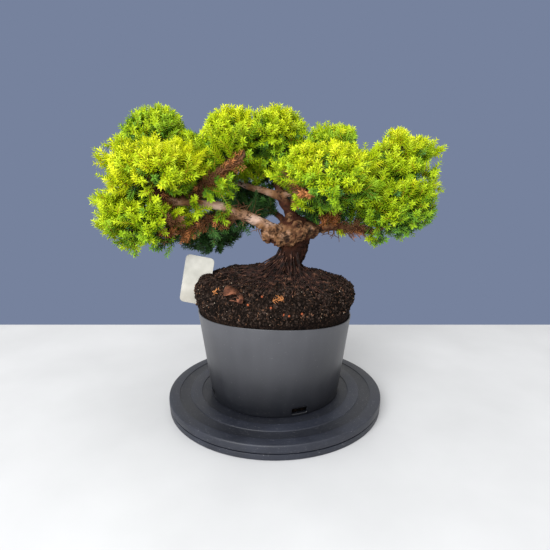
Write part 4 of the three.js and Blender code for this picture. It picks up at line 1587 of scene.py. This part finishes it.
TUFTS = (
    # pad, then each tuft's way out, depth of its root, aim, length in mm and freshness
    ("left_front_foliage", ((-0.72, 0.1, 0.62), 0.66, (-0.7, 0.0, 0.6), 18, 0.85),
        ((-0.6, -0.2, 0.7), 0.6, (-0.5, -0.2, 0.75), 16, 0.85),
        ((-0.9, -0.1, 0.2), 0.64, (-0.95, -0.1, 0.3), 22, 0.86)),
    ("left_low_foliage", ((-0.8, -0.1, 0.5), 0.66, (-0.9, -0.2, 0.3), 20, 0.84)),
    ("right_top_foliage", ((0.85, -0.1, 0.35), 0.66, (0.95, -0.1, 0.1), 18, 0.84),
        ((0.8, 0.2, 0.1), 0.6, (0.95, 0.1, 0.2), 14, 0.8)),
    ("right_low_foliage", ((0.75, -0.1, 0.62), 0.68, (0.95, -0.1, 0.2), 21, 0.8),
        ((0.85, 0.1, 0.4), 0.64, (0.95, 0.1, 0.05), 16, 0.76),
        ((-0.75, -0.3, 0.45), 0.8, (-0.1, -0.8, 0.6), 24, 0.62),
        ((-0.85, -0.2, 0.1), 0.8, (-0.2, -0.8, 0.5), 22, 0.5)),
    ("right_top_foliage", ((-0.75, -0.35, -0.3), 0.85, (-0.2, -0.8, 0.5), 24, 0.66)),
    ("front_foliage", ((0.85, 0.2, 0.3), 0.75, (0.5, -0.3, 0.8), 22, 0.72)),
    ("right_low_foliage", ((0.2, -0.4, 0.85), 0.7, (0.1, -0.6, 0.8), 26, 0.7),
        ((-0.3, -0.4, 0.85), 0.7, (-0.1, -0.7, 0.7), 26, 0.66)),
    ("right_top_foliage", ((0.2, -0.6, -0.5), 0.7, (0.1, -0.9, 0.2), 24, 0.7),
        ((-0.3, -0.6, -0.5), 0.7, (-0.1, -0.9, 0.2), 24, 0.66),
        ((0.6, -0.4, -0.5), 0.75, (0.5, -0.8, 0.1), 20, 0.7)),
    ("right_low_foliage", ((-0.35, -0.3, -0.75), 0.75, (-0.1, -0.4, -0.9), 15, 0.42),
        ((0.2, -0.2, -0.8), 0.7, (0.1, -0.3, -0.95), 12, 0.5),
        ((0.5, 0.0, -0.7), 0.7, (0.4, -0.2, -0.9), 12, 0.5)),
    ("left_low_foliage", ((-0.5, -0.2, -0.75), 0.7, (-0.4, -0.3, -0.85), 13, 0.62),
        ((-0.2, -0.3, -0.8), 0.75, (-0.2, -0.4, -0.85), 16, 0.55),
        ((-0.75, -0.1, -0.6), 0.65, (-0.7, -0.2, -0.6), 13, 0.7)),
    ("top_foliage", ((-0.5, -0.6, -0.2), 0.6, (-0.2, -0.8, 0.5), 26, 0.6),
        ((-0.2, -0.7, -0.4), 0.6, (0.0, -0.9, 0.3), 26, 0.6)),
    ("top_left_foliage", ((0.6, -0.5, -0.2), 0.7, (0.3, -0.8, 0.5), 24, 0.62)),
    ("shoulder_foliage", ((-0.5, 0.0, 0.85), 0.6, (-0.3, 0.0, 1.0), 14, 0.8),
        ((-0.2, -0.2, 0.95), 0.6, (-0.1, -0.1, 1.0), 12, 0.8)),
)
print("sprigs on", len(SPRIGS), "and tufts on", len(TUFTS), "stretches of the plant")

# %% Grow the sprigs and the dead coat
TANGLES = {
    # limb: first and last share, dead twigs that stand off it
    "left_bough": (0.16, 0.6, 44),
    "left_lower_bough": (0.1, 1.0, 40),
    "right_bough": (0.25, 1.0, 40),
    "front_bough": (0.4, 1.0, 16),
}
DEAD_COAT = {
    # limb: first and last share, threads of dead needles around it, dry sprigs
    "left_rising_bough": (0.05, 1.0, 9, 24),
    "left_lower_bough": (0.15, 1.0, 4, 34),
    "left_outer_bough": (0.0, 1.0, 5, 10),
    "right_bough": (0.45, 1.0, 3, 6),
    "right_rising_bough": (0.1, 0.5, 4, 5),
    "front_bough": (0.55, 1.0, 4, 5),
}
FALLEN_SPRIGS = (
    # column and row in the picture, turn on the soil, length in mm
    (277, 302, 0.3, 9), (281, 300, 2.4, 7), (216, 293, 1.2, 8),
)
COAT_PIECE = 14.0
COAT_GAPS = 0.15
COAT_POINTS = 4
COAT_SIZES = (0.8, 1.15)
COAT_ASIDE = (0.2, 1.0, 0.3)
TANGLE_REACH = (5, 10)
TANGLE_END = (4, 10)
TANGLE_KINK = 1.2
TANGLE_RADII = np.array([0.7, 0.5, 0.3])
DRY_LENGTH = 9
DRY_DROOP = 0.4
DRY_SIZES = (0.6, 0.9)
FALLEN_SIZE = 0.7
FALLEN_RISE = 1.5

sprig_random = SeededRandom(SEED + 200)


def coat_limb(limb, first, last, threads):
    """Short threads of dead needles that run along a limb's bark."""
    pieces = max(1, round(limb.length * (last - first) / COAT_PIECE))
    for thread, piece in itertools.product(range(threads), range(pieces)):
        if sprig_random() < COAT_GAPS:
            continue
        start = first + (last - first) * (piece + 0.3 * sprig_random()) / pieces
        end = min(1.0, start + (last - first) / pieces)
        turn = thread * math.tau / threads + sprig_random.between(-0.5, 0.5)
        line = []
        for share in np.linspace(start, end, COAT_POINTS):
            heading = limb.heading(share)
            side = unit(np.cross(heading, COAT_ASIDE))
            out = side * math.cos(turn) + np.cross(heading, side) * math.sin(turn)
            line.append(limb.at(share) + out * limb.radius(share))
        shoots.append((np.array(line), DEAD, sprig_random.between(*COAT_SIZES)))


def tangle_limb(limb, first, last, count):
    """Thin dead twigs that stand off a limb and kink once."""
    for _ in range(count):
        share = sprig_random.between(first, last)
        start = limb.at(share)
        out = square_to(limb.heading(share), sprig_random)
        middle = start + out * sprig_random.between(*TANGLE_REACH)
        kink = unit(out + TANGLE_KINK * square_to(out, sprig_random))
        end = middle + kink * sprig_random.between(*TANGLE_END)
        twig_lines.append((np.array([start, middle, end]), TANGLE_RADII))


def dry_sprigs(limb, first, last, count):
    """Dry drooping sprigs that stand off a limb."""
    for sprig in range(count):
        share = first + (last - first) * (sprig + sprig_random()) / count
        out = square_to(limb.heading(share), sprig_random)
        aim = unit(out + limb.heading(share))
        line = shoot_line(limb.at(share) + out * 2, aim, DRY_LENGTH, sprig_random, DRY_DROOP)
        shoots.append((line, DRY, sprig_random.between(*DRY_SIZES)))


for limb_name, (first, last, count) in TANGLES.items():
    tangle_limb(limbs[limb_name], first, last, count)
for limb_name, *sprigs in SPRIGS:
    for share, aim, length, freshness_and_light in sprigs:
        grow_spray(limbs[limb_name].at(share), unit(aim), length, freshness_and_light, sprig_random)
for mass, *tufts in TUFTS:
    for out, depth, aim, length, freshness_and_light in tufts:
        root = np.array(MASSES[mass][1]) + np.array(out) * MASSES[mass][2] * depth
        grow_spray(root, unit(aim), length, freshness_and_light, sprig_random)
for limb_name, (first, last, threads, sprigs) in DEAD_COAT.items():
    coat_limb(limbs[limb_name], first, last, threads)
    dry_sprigs(limbs[limb_name], first, last, sprigs)
for column, row, turn, length in FALLEN_SPRIGS:
    lie = np.array([math.cos(turn), math.sin(turn), 0.1])
    middle = spot_on_soil(column, row) + UP * FALLEN_RISE
    line = shoot_line(middle - lie * length / 2, lie, length, sprig_random, LIFT)
    shoots.append((line, DRY, FALLEN_SIZE))
print("shoots in all:", len(shoots))

# %% [markdown]
# ## Needles on the shoots
# A juniper's needles sit in whorls around the shoot and point forwards. A needle here is a thin closed blade
# of four faces. A Geometry Nodes tree turns each shoot into a curve, steps along it, puts a whorl of needles
# at each step, turned at random, and closes the whorls towards the tip as a bud does. Shoots are sorted by
# freshness into a few plain tints first, with the older half of a shoot a tint or two darker.

# %% Build the needle tree
NEEDLES_IN_WHORL = 4
NEEDLE_LENGTH = 6.4
NEEDLE_WIDTH = 2.0
NEEDLE_WIDEST = 0.4
NEEDLE_THICK = 0.6
NEEDLE_LEAN = math.radians(53)
NEEDLE_FOOT = 0.3
CLOSE_IN = -0.34
CLOSE_AHEAD = -0.2
OPEN_WIDTH = 1.0
OPEN_LENGTH = 0.9


def make_whorl():
    """Needles around the shoot's axis, which is Z: keeled blades of four faces, widest near the middle."""
    points = []
    faces = []
    for needle in range(NEEDLES_IN_WHORL):
        turn = needle * math.tau / NEEDLES_IN_WHORL
        out = np.array([math.cos(turn), math.sin(turn), 0])
        across = np.array([-math.sin(turn), math.cos(turn), 0])
        ahead = out * math.sin(NEEDLE_LEAN) + UP * math.cos(NEEDLE_LEAN)
        inner = np.cross(ahead, across)
        foot = out * NEEDLE_FOOT
        middle = foot + ahead * NEEDLE_LENGTH * NEEDLE_WIDEST + inner * NEEDLE_THICK
        half = across * NEEDLE_WIDTH / 2
        first = len(points)
        points += [foot, middle + half, middle - half, foot + ahead * NEEDLE_LENGTH]
        for face in ((0, 2, 1), (3, 1, 2), (0, 1, 3), (0, 3, 2)):
            faces.append(tuple(first + corner for corner in face))
    return make_piece("needle_whorl", points, faces, smooth=False)


def named_value(tree, name):
    """A value that is kept with each point of a line."""
    return add_node(tree, "GeometryNodeInputNamedAttribute", {"Name": name}, data_type="FLOAT").outputs[0]


def needle_tree():
    """Whorls along the curves of a mesh of lines, sized by the lines' own values."""
    sockets = {"Step": "Float", "Seed": "Int", "Whorl": "Object", "Finish": "Material"}
    tree, given = new_tree("needle shoots", sockets)
    curve = add_node(tree, "GeometryNodeMeshToCurve", {"Mesh": given["Geometry"]})
    inputs = {"Curve": curve.outputs[0], "Length": given["Step"]}
    even = add_node(tree, "GeometryNodeResampleCurve", inputs, mode="LENGTH")
    tangent = add_node(tree, "GeometryNodeInputTangent").outputs[0]
    aimed = add_node(tree, "FunctionNodeAlignRotationToVector", {"Vector": tangent}, axis="Z")
    spin = random_number(tree, 0.0, math.tau, given["Seed"])
    spun = add_node(tree, "FunctionNodeAxisAngleToRotation", {"Axis": (0, 0, 1), "Angle": spin})
    inputs = {"Rotation": aimed.outputs[0], "Rotate By": spun.outputs[0]}
    turned = add_node(tree, "FunctionNodeRotateRotation", inputs, rotation_space="LOCAL")
    size = named_value(tree, "size")
    close = named_value(tree, "close")
    across = calc(tree, "MULTIPLY", calc(tree, "MULTIPLY_ADD", close, CLOSE_IN, OPEN_WIDTH), size)
    ahead = calc(tree, "MULTIPLY", calc(tree, "MULTIPLY_ADD", close, CLOSE_AHEAD, OPEN_LENGTH), size)
    scale = add_node(tree, "ShaderNodeCombineXYZ", {"X": across, "Y": across, "Z": ahead})
    place_copies(tree, given, even.outputs[0], "Whorl", turned.outputs[0], scale.outputs[0])
    return tree


def lines_object(name, lines, values):
    """A mesh of open lines, with named values for each of its points."""
    points = np.concatenate(lines) * MM
    edges = []
    start = 0
    for line in lines:
        edges.extend((corner, corner + 1) for corner in range(start, start + len(line) - 1))
        start += len(line)
    mesh = bpy.data.meshes.new(name)
    mesh.from_pydata(points.tolist(), edges, [])
    for value_name, blocks in values.items():
        keep_values(mesh, value_name, np.concatenate(blocks))
    return add_piece(name, mesh)


whorl_shape = make_whorl()
shoot_tree = needle_tree()
print("needle tree has", len(shoot_tree.nodes), "nodes")

# %% [markdown]
# Each tint is one plain waxy colour, because a needle is far too thin to show a pattern. The newest growth is
# lime, the older shoots are deep green, shoots in shade get the deep greens too as painted shade, and the
# dead ones are brown.

# %% Sort the shoots into tints and cover them with needles
TINTS = {
    # name: colour, from the freshest and most lit to the oldest and most shaded, then the dead ones
    "needles_lime": (202, 210, 26),
    "needles_yellow_green": (184, 202, 24),
    "needles_fresh": (166, 190, 22),
    "needles_mid": (138, 172, 26),
    "needles_green": (104, 148, 42),
    "needles_deep": (76, 120, 54),
    "needles_blue": (54, 90, 44),
    "needles_dead": (130, 90, 62),
    "needles_dry": (178, 116, 68),
}
LIVE_TINTS = 7
NEW_GROWTH = 0.45
OLD_GROWTH = 0.4
DEAD_CLOSED = (0.1, 0.3, 0.6)
OLD_CLOSED = (0.0, 0.0, 0.1)
NEW_CLOSED = (0.0, 0.2, 1.0)
WHORL_STEP = 2.1
NEEDLE_ROUGH = 0.55
NEEDLE_SHINE = 0.2


def tint_of(freshness_and_light):
    """The place of a freshness in the row of tints."""
    if freshness_and_light <= DEAD:
        return LIVE_TINTS if freshness_and_light == DEAD else LIVE_TINTS + 1
    return int(clamp((1 - freshness_and_light) * LIVE_TINTS, 0, LIVE_TINTS - 1))


def part_of(line, first, last):
    """The part of a line between two shares, as three points."""
    steps = np.linspace(0, 1, len(line))
    wanted = np.linspace(first, last, 3)
    return np.stack([np.interp(wanted, steps, axis) for axis in line.T], axis=1)


def needle_finish(name, tint):
    """A plain waxy green, dealt out by shoot."""
    finish = bpy.data.materials.new(name)
    finish.use_nodes = True
    shader = finish.node_tree.nodes["Principled BSDF"]
    shader.inputs["Base Color"].default_value = colour(*tint)
    shader.inputs["Roughness"].default_value = NEEDLE_ROUGH
    shader.inputs["Specular IOR Level"].default_value = NEEDLE_SHINE
    return finish


rows = [[] for _ in TINTS]
for line, freshness_and_light, size in shoots:
    tint = tint_of(freshness_and_light)
    if tint >= LIVE_TINTS:
        rows[tint].append((part_of(line, 0, 1), DEAD_CLOSED, size))
        continue
    older = min(LIVE_TINTS - 1, tint + 1 + tint // 4)
    rows[older].append((part_of(line, 0.0, OLD_GROWTH), OLD_CLOSED, size))
    rows[tint].append((part_of(line, NEW_GROWTH, 1.0), NEW_CLOSED, size))

for seed, (tint_name, row) in enumerate(zip(TINTS, rows)):
    lines = [line for line, _, _ in row]
    closed = [np.array(close) for _, close, _ in row]
    sizes = [np.full(3, size) for _, _, size in row]
    source = lines_object("shoot_lines", lines, {"close": closed, "size": sizes})
    finish = needle_finish(tint_name, TINTS[tint_name])
    inputs = {"Step": WHORL_STEP * MM, "Seed": seed, "Whorl": whorl_shape, "Finish": finish}
    needle_piece = grow_piece(tint_name, source, shoot_tree, inputs)
    bpy.data.objects.remove(source)
    hand_over(needle_piece, list(MASSES))

# %% [markdown]
# ## Twigs and fine roots
# Stems, twigs and the axes of the shoots are thin rods that follow their lines. Curve to Mesh sweeps a small
# ring of a few sides along each line and sizes it by the line's own radius. The fine roots that spread from
# the trunk over the soil are rods too, so the same tree makes them with another finish.

# %% Build the rod tree and the twigs
SHOOT_RADIUS = 0.5
STEM_RADII = np.array([1.0, 0.9, 0.5]) * SHOOT_RADIUS
STEM_SHARE = 0.8
GOLDEN_ABOVE = 0.45
ROD_LOOK = {"surface": (0.8, 0.3), "spots": (150, 3), "grain": (1200, 3, 0.4, 0.3)}
TWIG_STOPS = [(0.3, colour(70, 47, 34)), (0.6, colour(112, 80, 50)), (0.8, colour(150, 112, 60))]
STEM_STOPS = [(0.3, colour(150, 112, 40)), (0.55, colour(196, 150, 40)), (0.75, colour(206, 176, 52))]
ROOT_STOPS = [(0.38, colour(20, 12, 9)), (0.56, colour(52, 29, 23)), (0.74, colour(124, 86, 66))]


def rod_tree():
    """Rods along the curves of a mesh of lines."""
    tree, given = new_tree("rods", {"Sides": "Int", "Finish": "Material"})
    curve = add_node(tree, "GeometryNodeMeshToCurve", {"Mesh": given["Geometry"]})
    ring = add_node(tree, "GeometryNodeCurvePrimitiveCircle", {"Resolution": given["Sides"], "Radius": 1.0})
    inputs = {"Curve": curve.outputs[0], "Profile Curve": ring.outputs[0], "Fill Caps": True}
    swept = add_node(tree, "GeometryNodeCurveToMesh", {**inputs, "Scale": named_value(tree, "radius")})
    close_tree(tree, swept.outputs[0], given["Finish"])
    return tree


def grow_rods(name, lines, radii, sides, stops):
    """A piece of rods from lines and their radii in millimetres."""
    source = lines_object("rod_lines", lines, {"radius": [np.asarray(radius) * MM for radius in radii]})
    finish = mottled(name, stops, **ROD_LOOK)
    piece = grow_piece(name, source, rods, {"Sides": sides, "Finish": finish})
    bpy.data.objects.remove(source)
    return piece


rods = rod_tree()
twig_paths = [line for line, _ in twig_lines]
twig_radii = [radii for _, radii in twig_lines]
hand_over(grow_rods("twigs", twig_paths, twig_radii, 5, TWIG_STOPS), list(MASSES))
stems = {"shoot_stems": ([], STEM_STOPS), "old_stems": ([], TWIG_STOPS)}
for line, freshness_and_light, _ in shoots:
    kind = "shoot_stems" if freshness_and_light > GOLDEN_ABOVE else "old_stems"
    stems[kind][0].append(part_of(line, 0, STEM_SHARE))
for stem_name, (paths, stops) in stems.items():
    stem_piece = grow_rods(stem_name, paths, [STEM_RADII] * len(paths), 3, stops)
    hand_over(stem_piece, list(MASSES))

# %% [markdown]
# Fine roots cover the soil round an old trunk. Some run down its flank like a skirt, most creep over the
# soil, and short strays lie all over it. They could be drawn one by one, but picking each one's values from
# a few ranges is quicker and looks less arranged. Rays cast down to the soil and the trunk keep each root on
# the ground.

# %% How a root finds its way
ROOT_HIGH = 26.0
ROOT_STEPS = 10
HANG_STEPS = 7
ROOT_CLIMB = 4.0
ROOT_RISE = 0.4
ROOT_PLAY_UP = 0.9
ROOT_WANDER = 0.55
ROOT_TAPER = 0.5
HANG_TAPER = 0.6
HANG_PLAY = 0.8
SKY_HEIGHT = 400
BESIDE_TRUNK = 60
DOWN = Vector((0, 0, -1))

root_random = SeededRandom(SEED + 50)
wood_faces = [face.vertices[:] for face in wood_piece.data.polygons]
wood_tree = BVHTree.FromPolygons(wood_points.tolist(), wood_faces)
root_lines = []
root_radii = []


def compass(turn):
    """The flat direction of a turn."""
    return np.array([math.cos(turn), math.sin(turn)])


def ground_height(x, y):
    """The height of the soil, or of the root flare that covers it, under a point; none beside the soil."""
    soil = soil_tree.ray_cast(Vector((x, y, SKY_HEIGHT)), DOWN)[0]
    flare, facing, _, _ = wood_tree.ray_cast(Vector((x, y, GROUND + ROOT_HIGH + ROOT_CLIMB)), DOWN)
    if soil and flare and facing.z > 0:
        return max(soil.z, flare.z)
    return soil.z if soil else None


def trunk_side(height, turn):
    """The point of the trunk's skin at a height above the ground, seen from a direction."""
    spine = limbs["trunk"].at(height / TRUNK_HEIGHT)
    out = np.append(compass(turn), 0)
    hit = wood_tree.ray_cast(Vector(spine + out * BESIDE_TRUNK), Vector(-out))[0]
    return np.array(hit)[:2]


def lay_root(start, turn, length, height, radius, wander=ROOT_WANDER):
    """A root that runs over the soil from a point, and falls to it first if it starts higher."""
    spot = np.array(start, float)
    points = []
    for step in range(ROOT_STEPS):
        share = step / (ROOT_STEPS - 1)
        ground = ground_height(*spot)
        if ground is None or (points and ground > points[-1][2] + ROOT_CLIMB):
            break
        above = clamp(height - ground, 0.0, ROOT_CLIMB) * (1 - share) ** 6
        points.append((*spot, ground + ROOT_RISE + above + ROOT_PLAY_UP * root_random()))
        turn += root_random.between(-wander, wander)
        spot = spot + compass(turn) * length / ROOT_STEPS
    if len(points) > 3:
        root_lines.append(np.array(points))
        root_radii.append(np.linspace(radius, radius * ROOT_TAPER, len(points)))


def hang_root(lift, turn, reach, radius):
    """A root that leaves the trunk's flank above the ground and runs straight down to the soil."""
    top = trunk_side(lift, turn) - compass(turn)
    foot = top + compass(turn) * reach
    ground = ground_height(*foot)
    if ground is None:
        return
    points = []
    for share in np.linspace(0, 1, HANG_STEPS):
        spot = top + (foot - top) * share + root_random.between(-HANG_PLAY, HANG_PLAY)
        height = GROUND + lift + (ground - GROUND - lift) * share
        points.append((*spot, max(height, ground_height(*spot) + ROOT_RISE)))
    root_lines.append(np.array(points))
    root_radii.append(np.linspace(radius, radius * HANG_TAPER, len(points)))


print("the trunk's right side is at", trunk_side(0.0, 0.0).round(1))

# %% Spread the fine roots over the soil
ROOTS = {
    # kind: how many, and the ranges from which each root's values are drawn, in mm and radians
    "skirt": {"count": 46, "lift": (5, 22), "lean": (1.0, 1.6), "turn": (2.7, 4.9), "radius": (0.4, 0.9)},
    "right": {"count": 7, "lift": (4, 11), "turn": (-0.9, 0.4), "reach": (8, 15), "radius": (0.5, 1.0)},
    "flare": {"count": 170, "length": (22, 58), "radius": (0.3, 0.85)},
    "long": {"count": 26, "turn": (2.8, 5.6), "length": (45, 76), "radius": (0.7, 1.1)},
    "stray": {"count": 380, "length": (8, 26), "radius": (0.2, 0.4)},
}
SKIRT_FOOT = 8
FRONT_SHARE = 0.7
FLARE_START = 0.4
LONG_LIFT = 3.0
LONG_WANDER = 0.22
STRAY_REACH = 84


def draw(kind, value):
    """One value of a root, from the range of its kind."""
    return root_random.between(*ROOTS[kind][value])


for _ in range(ROOTS["skirt"]["count"]):
    lift = draw("skirt", "lift")
    reach = lift * draw("skirt", "lean") + SKIRT_FOOT
    hang_root(lift, draw("skirt", "turn"), reach, draw("skirt", "radius"))
for _ in range(ROOTS["right"]["count"]):
    lift = draw("right", "lift")
    hang_root(lift, draw("right", "turn"), draw("right", "reach"), draw("right", "radius"))
for _ in range(ROOTS["flare"]["count"]):
    turn = root_random() * math.tau
    if root_random() < FRONT_SHARE:
        turn = -abs(math.pi - turn)
    lift = root_random() ** 1.6 * ROOT_HIGH * clamp(0.4 - 0.75 * math.cos(turn))
    foot = trunk_side(lift, turn) + compass(turn) * FLARE_START
    lay_root(foot, turn, draw("flare", "length"), GROUND + lift, draw("flare", "radius"))
for _ in range(ROOTS["long"]["count"]):
    turn = draw("long", "turn")
    foot = trunk_side(LONG_LIFT, turn) + compass(turn) * FLARE_START
    lay_root(foot, turn, draw("long", "length"), GROUND + LONG_LIFT, draw("long", "radius"), LONG_WANDER)
for _ in range(ROOTS["stray"]["count"]):
    turn = root_random() * math.tau
    spot = compass(turn) * (math.sqrt(root_random()) * STRAY_REACH)
    lay_root(spot, root_random() * math.tau, draw("stray", "length"), 0.0, draw("stray", "radius"))
hand_over(grow_rods("fine_roots", root_lines, root_radii, 5, ROOT_STOPS), ["root_ball"])

# %% [markdown]
# ## Litter on the soil
# A withered leaf, a few dry sprigs and orange feed pellets lie on the soil. Each is placed where the camera's
# line of sight through its place in the picture meets the soil, and then sits on the soil there. The sprigs
# were needle shoots already, so only the leaf and the pellets are left to make.

# %% Lay the leaf and the pellets on the soil
LEAF_LIES = ((232, 296, 0.1), (237, 303, -0.8))
LEAF_LENGTH = 17.0
LEAF_WIDTH = 11.0
LEAF_STANDS = 8.0
LEAF_LIES_UP = 1.5
LEAF_POINTS = 18
LEAF_TAPER = 0.35
LEAF_CURL = 1.4
LEAF_WAVE = 1.2
LEAF_RISE = 1.5
LEAF_MIDDLES = ((0, 0, 1.6), (0, 0, 1.0))
LEAF_STOPS = [(0.38, colour(62, 33, 25)), (0.62, colour(146, 94, 70))]
PELLETS = ((248, 305), (262, 297), (284, 315), (289, 316), (302, 314), (271, 308))
PELLET_RADIUS = 1.25
PELLET_STOPS = [(0.35, colour(112, 54, 32)), (0.65, colour(166, 88, 52))]
LITTER_LOOK = {"surface": (0.8, 0.2), "spots": (190, 4), "grain": (700, 3, 0.4, 0.4)}


def withered_leaf(middle, turn):
    """A folded leaf as a thin closed shape: one wing lies on the soil and the other stands up behind it."""
    turns = np.linspace(0, math.tau, LEAF_POINTS, endpoint=False)
    along = np.cos(turns) * LEAF_LENGTH / 2
    across = np.sin(turns) * LEAF_WIDTH / 2 * (1 - LEAF_TAPER * np.cos(turns))
    wing = across / LEAF_WIDTH * 2
    curl = np.where(wing > 0, LEAF_STANDS, LEAF_LIES_UP) * np.abs(wing) ** LEAF_CURL
    curl = curl + LEAF_WAVE * np.sin(turns * 3)
    edge = np.stack([*rotate(along, across, turn), curl + LEAF_RISE], axis=1) + middle
    points = np.concatenate([edge, middle + np.array(LEAF_MIDDLES)])
    faces = []
    for point in range(LEAF_POINTS):
        beside = (point + 1) % LEAF_POINTS
        faces.append((point, beside, LEAF_POINTS))
        faces.append((beside, point, LEAF_POINTS + 1))
    return points, faces


def pellet(middle):
    """A small round pellet, half sunk."""
    points, faces = lathe(half_round(9) * PELLET_RADIUS, 14)
    return points + middle, faces


def lay_litter(name, shapes, stops):
    """Joins small shapes into one piece with a mottled finish."""
    litter = make_piece(name, *join_shapes(shapes))
    hand_over(litter, ["root_ball"], mottled(name, stops, **LITTER_LOOK))


leaves = [withered_leaf(spot_on_soil(column, row), turn) for column, row, turn in LEAF_LIES]
lay_litter("withered_leaf", leaves, LEAF_STOPS)
pellets = [pellet(spot_on_soil(*place)) for place in PELLETS]
lay_litter("pellets", pellets, PELLET_STOPS)

# %% [markdown]
# ## Floor and light
# The light is that of a room by a window: a broad soft light from above and the front, and an even glow all
# round. A plain pale table top lies under the stand.

# %% Set the stage
TABLE_LOW = (-1100, -1200, -20)
TABLE_HIGH = (1100, 275, 0)
TABLE_STOPS = [(0.3, colour(194, 195, 197)), (0.7, colour(202, 203, 205))]
TABLE_LOOK = {"surface": (0.45,), "spots": (9, 4)}
ROOM_LIGHT = 0.75
WALL = colour(118, 130, 157)
LOOK_AT = Vector((0, 0, 0.2))
LIGHTS = {
    # name: place and size in metres, power in watts
    "window": ((-0.55, -1.15, 0.85), 0.9, 27),
    "ceiling": ((0.2, 0.1, 1.5), 1.4, 8),
}


def make_floor():
    """A pale table top, as a plain slab."""
    floor = make_piece("floor", *box(TABLE_LOW, TABLE_HIGH), smooth=False)
    floor.data.materials.append(mottled("pale floor", TABLE_STOPS, **TABLE_LOOK))
    floor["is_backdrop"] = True


def make_world():
    """An even glow, with a plain blue-grey wall where the camera sees past the floor."""
    world = bpy.data.worlds.new("room")
    bpy.context.scene.world = world
    world.use_nodes = True
    tree = world.node_tree
    tree.nodes.clear()
    glow = add_node(tree, "ShaderNodeBackground", {"Color": (1.0, 1.0, 1.0, 1.0), "Strength": ROOM_LIGHT})
    wall = add_node(tree, "ShaderNodeBackground", {"Color": WALL, "Strength": 1.0})
    seen = add_node(tree, "ShaderNodeLightPath").outputs["Is Camera Ray"]
    both = add_node(tree, "ShaderNodeMixShader", {0: seen, 1: glow.outputs[0], 2: wall.outputs[0]})
    add_node(tree, "ShaderNodeOutputWorld", {"Surface": both.outputs[0]})


def add_light(name, place, size, power):
    """A square soft light that faces the middle of the plant."""
    light = bpy.data.lights.new(name, "AREA")
    light.size = size
    light.energy = power
    lamp = bpy.data.objects.new(name, light)
    lamp.location = place
    lamp.rotation_euler = (LOOK_AT - Vector(place)).to_track_quat("-Z", "Y").to_euler()
    bpy.context.scene.collection.objects.link(lamp)


make_floor()
make_world()
for light_name, (light_place, light_size, light_power) in LIGHTS.items():
    add_light(light_name, light_place, light_size, light_power)
bpy.context.scene.view_settings.view_transform = "Standard"
print("lights:", [lamp.name for lamp in bpy.data.lights])

# %% [markdown]
# ## Clearing up
# The stones and the whorl were only patterns for the Geometry Nodes trees, so they are taken away. The outer
# size is measured and kept beside the size of the solids.

# %% Clear the helpers away and measure the scene
for helper in (crumb_stone, sliver_stone, whorl_shape):
    bpy.data.objects.remove(helper)
VISUAL_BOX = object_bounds()
sizes = {"cad": [list(corner) for corner in CAD_BOX], "visual": [list(corner) for corner in VISUAL_BOX]}
print("the dressed plant reaches from", sizes["visual"][0], "to", sizes["visual"][1])
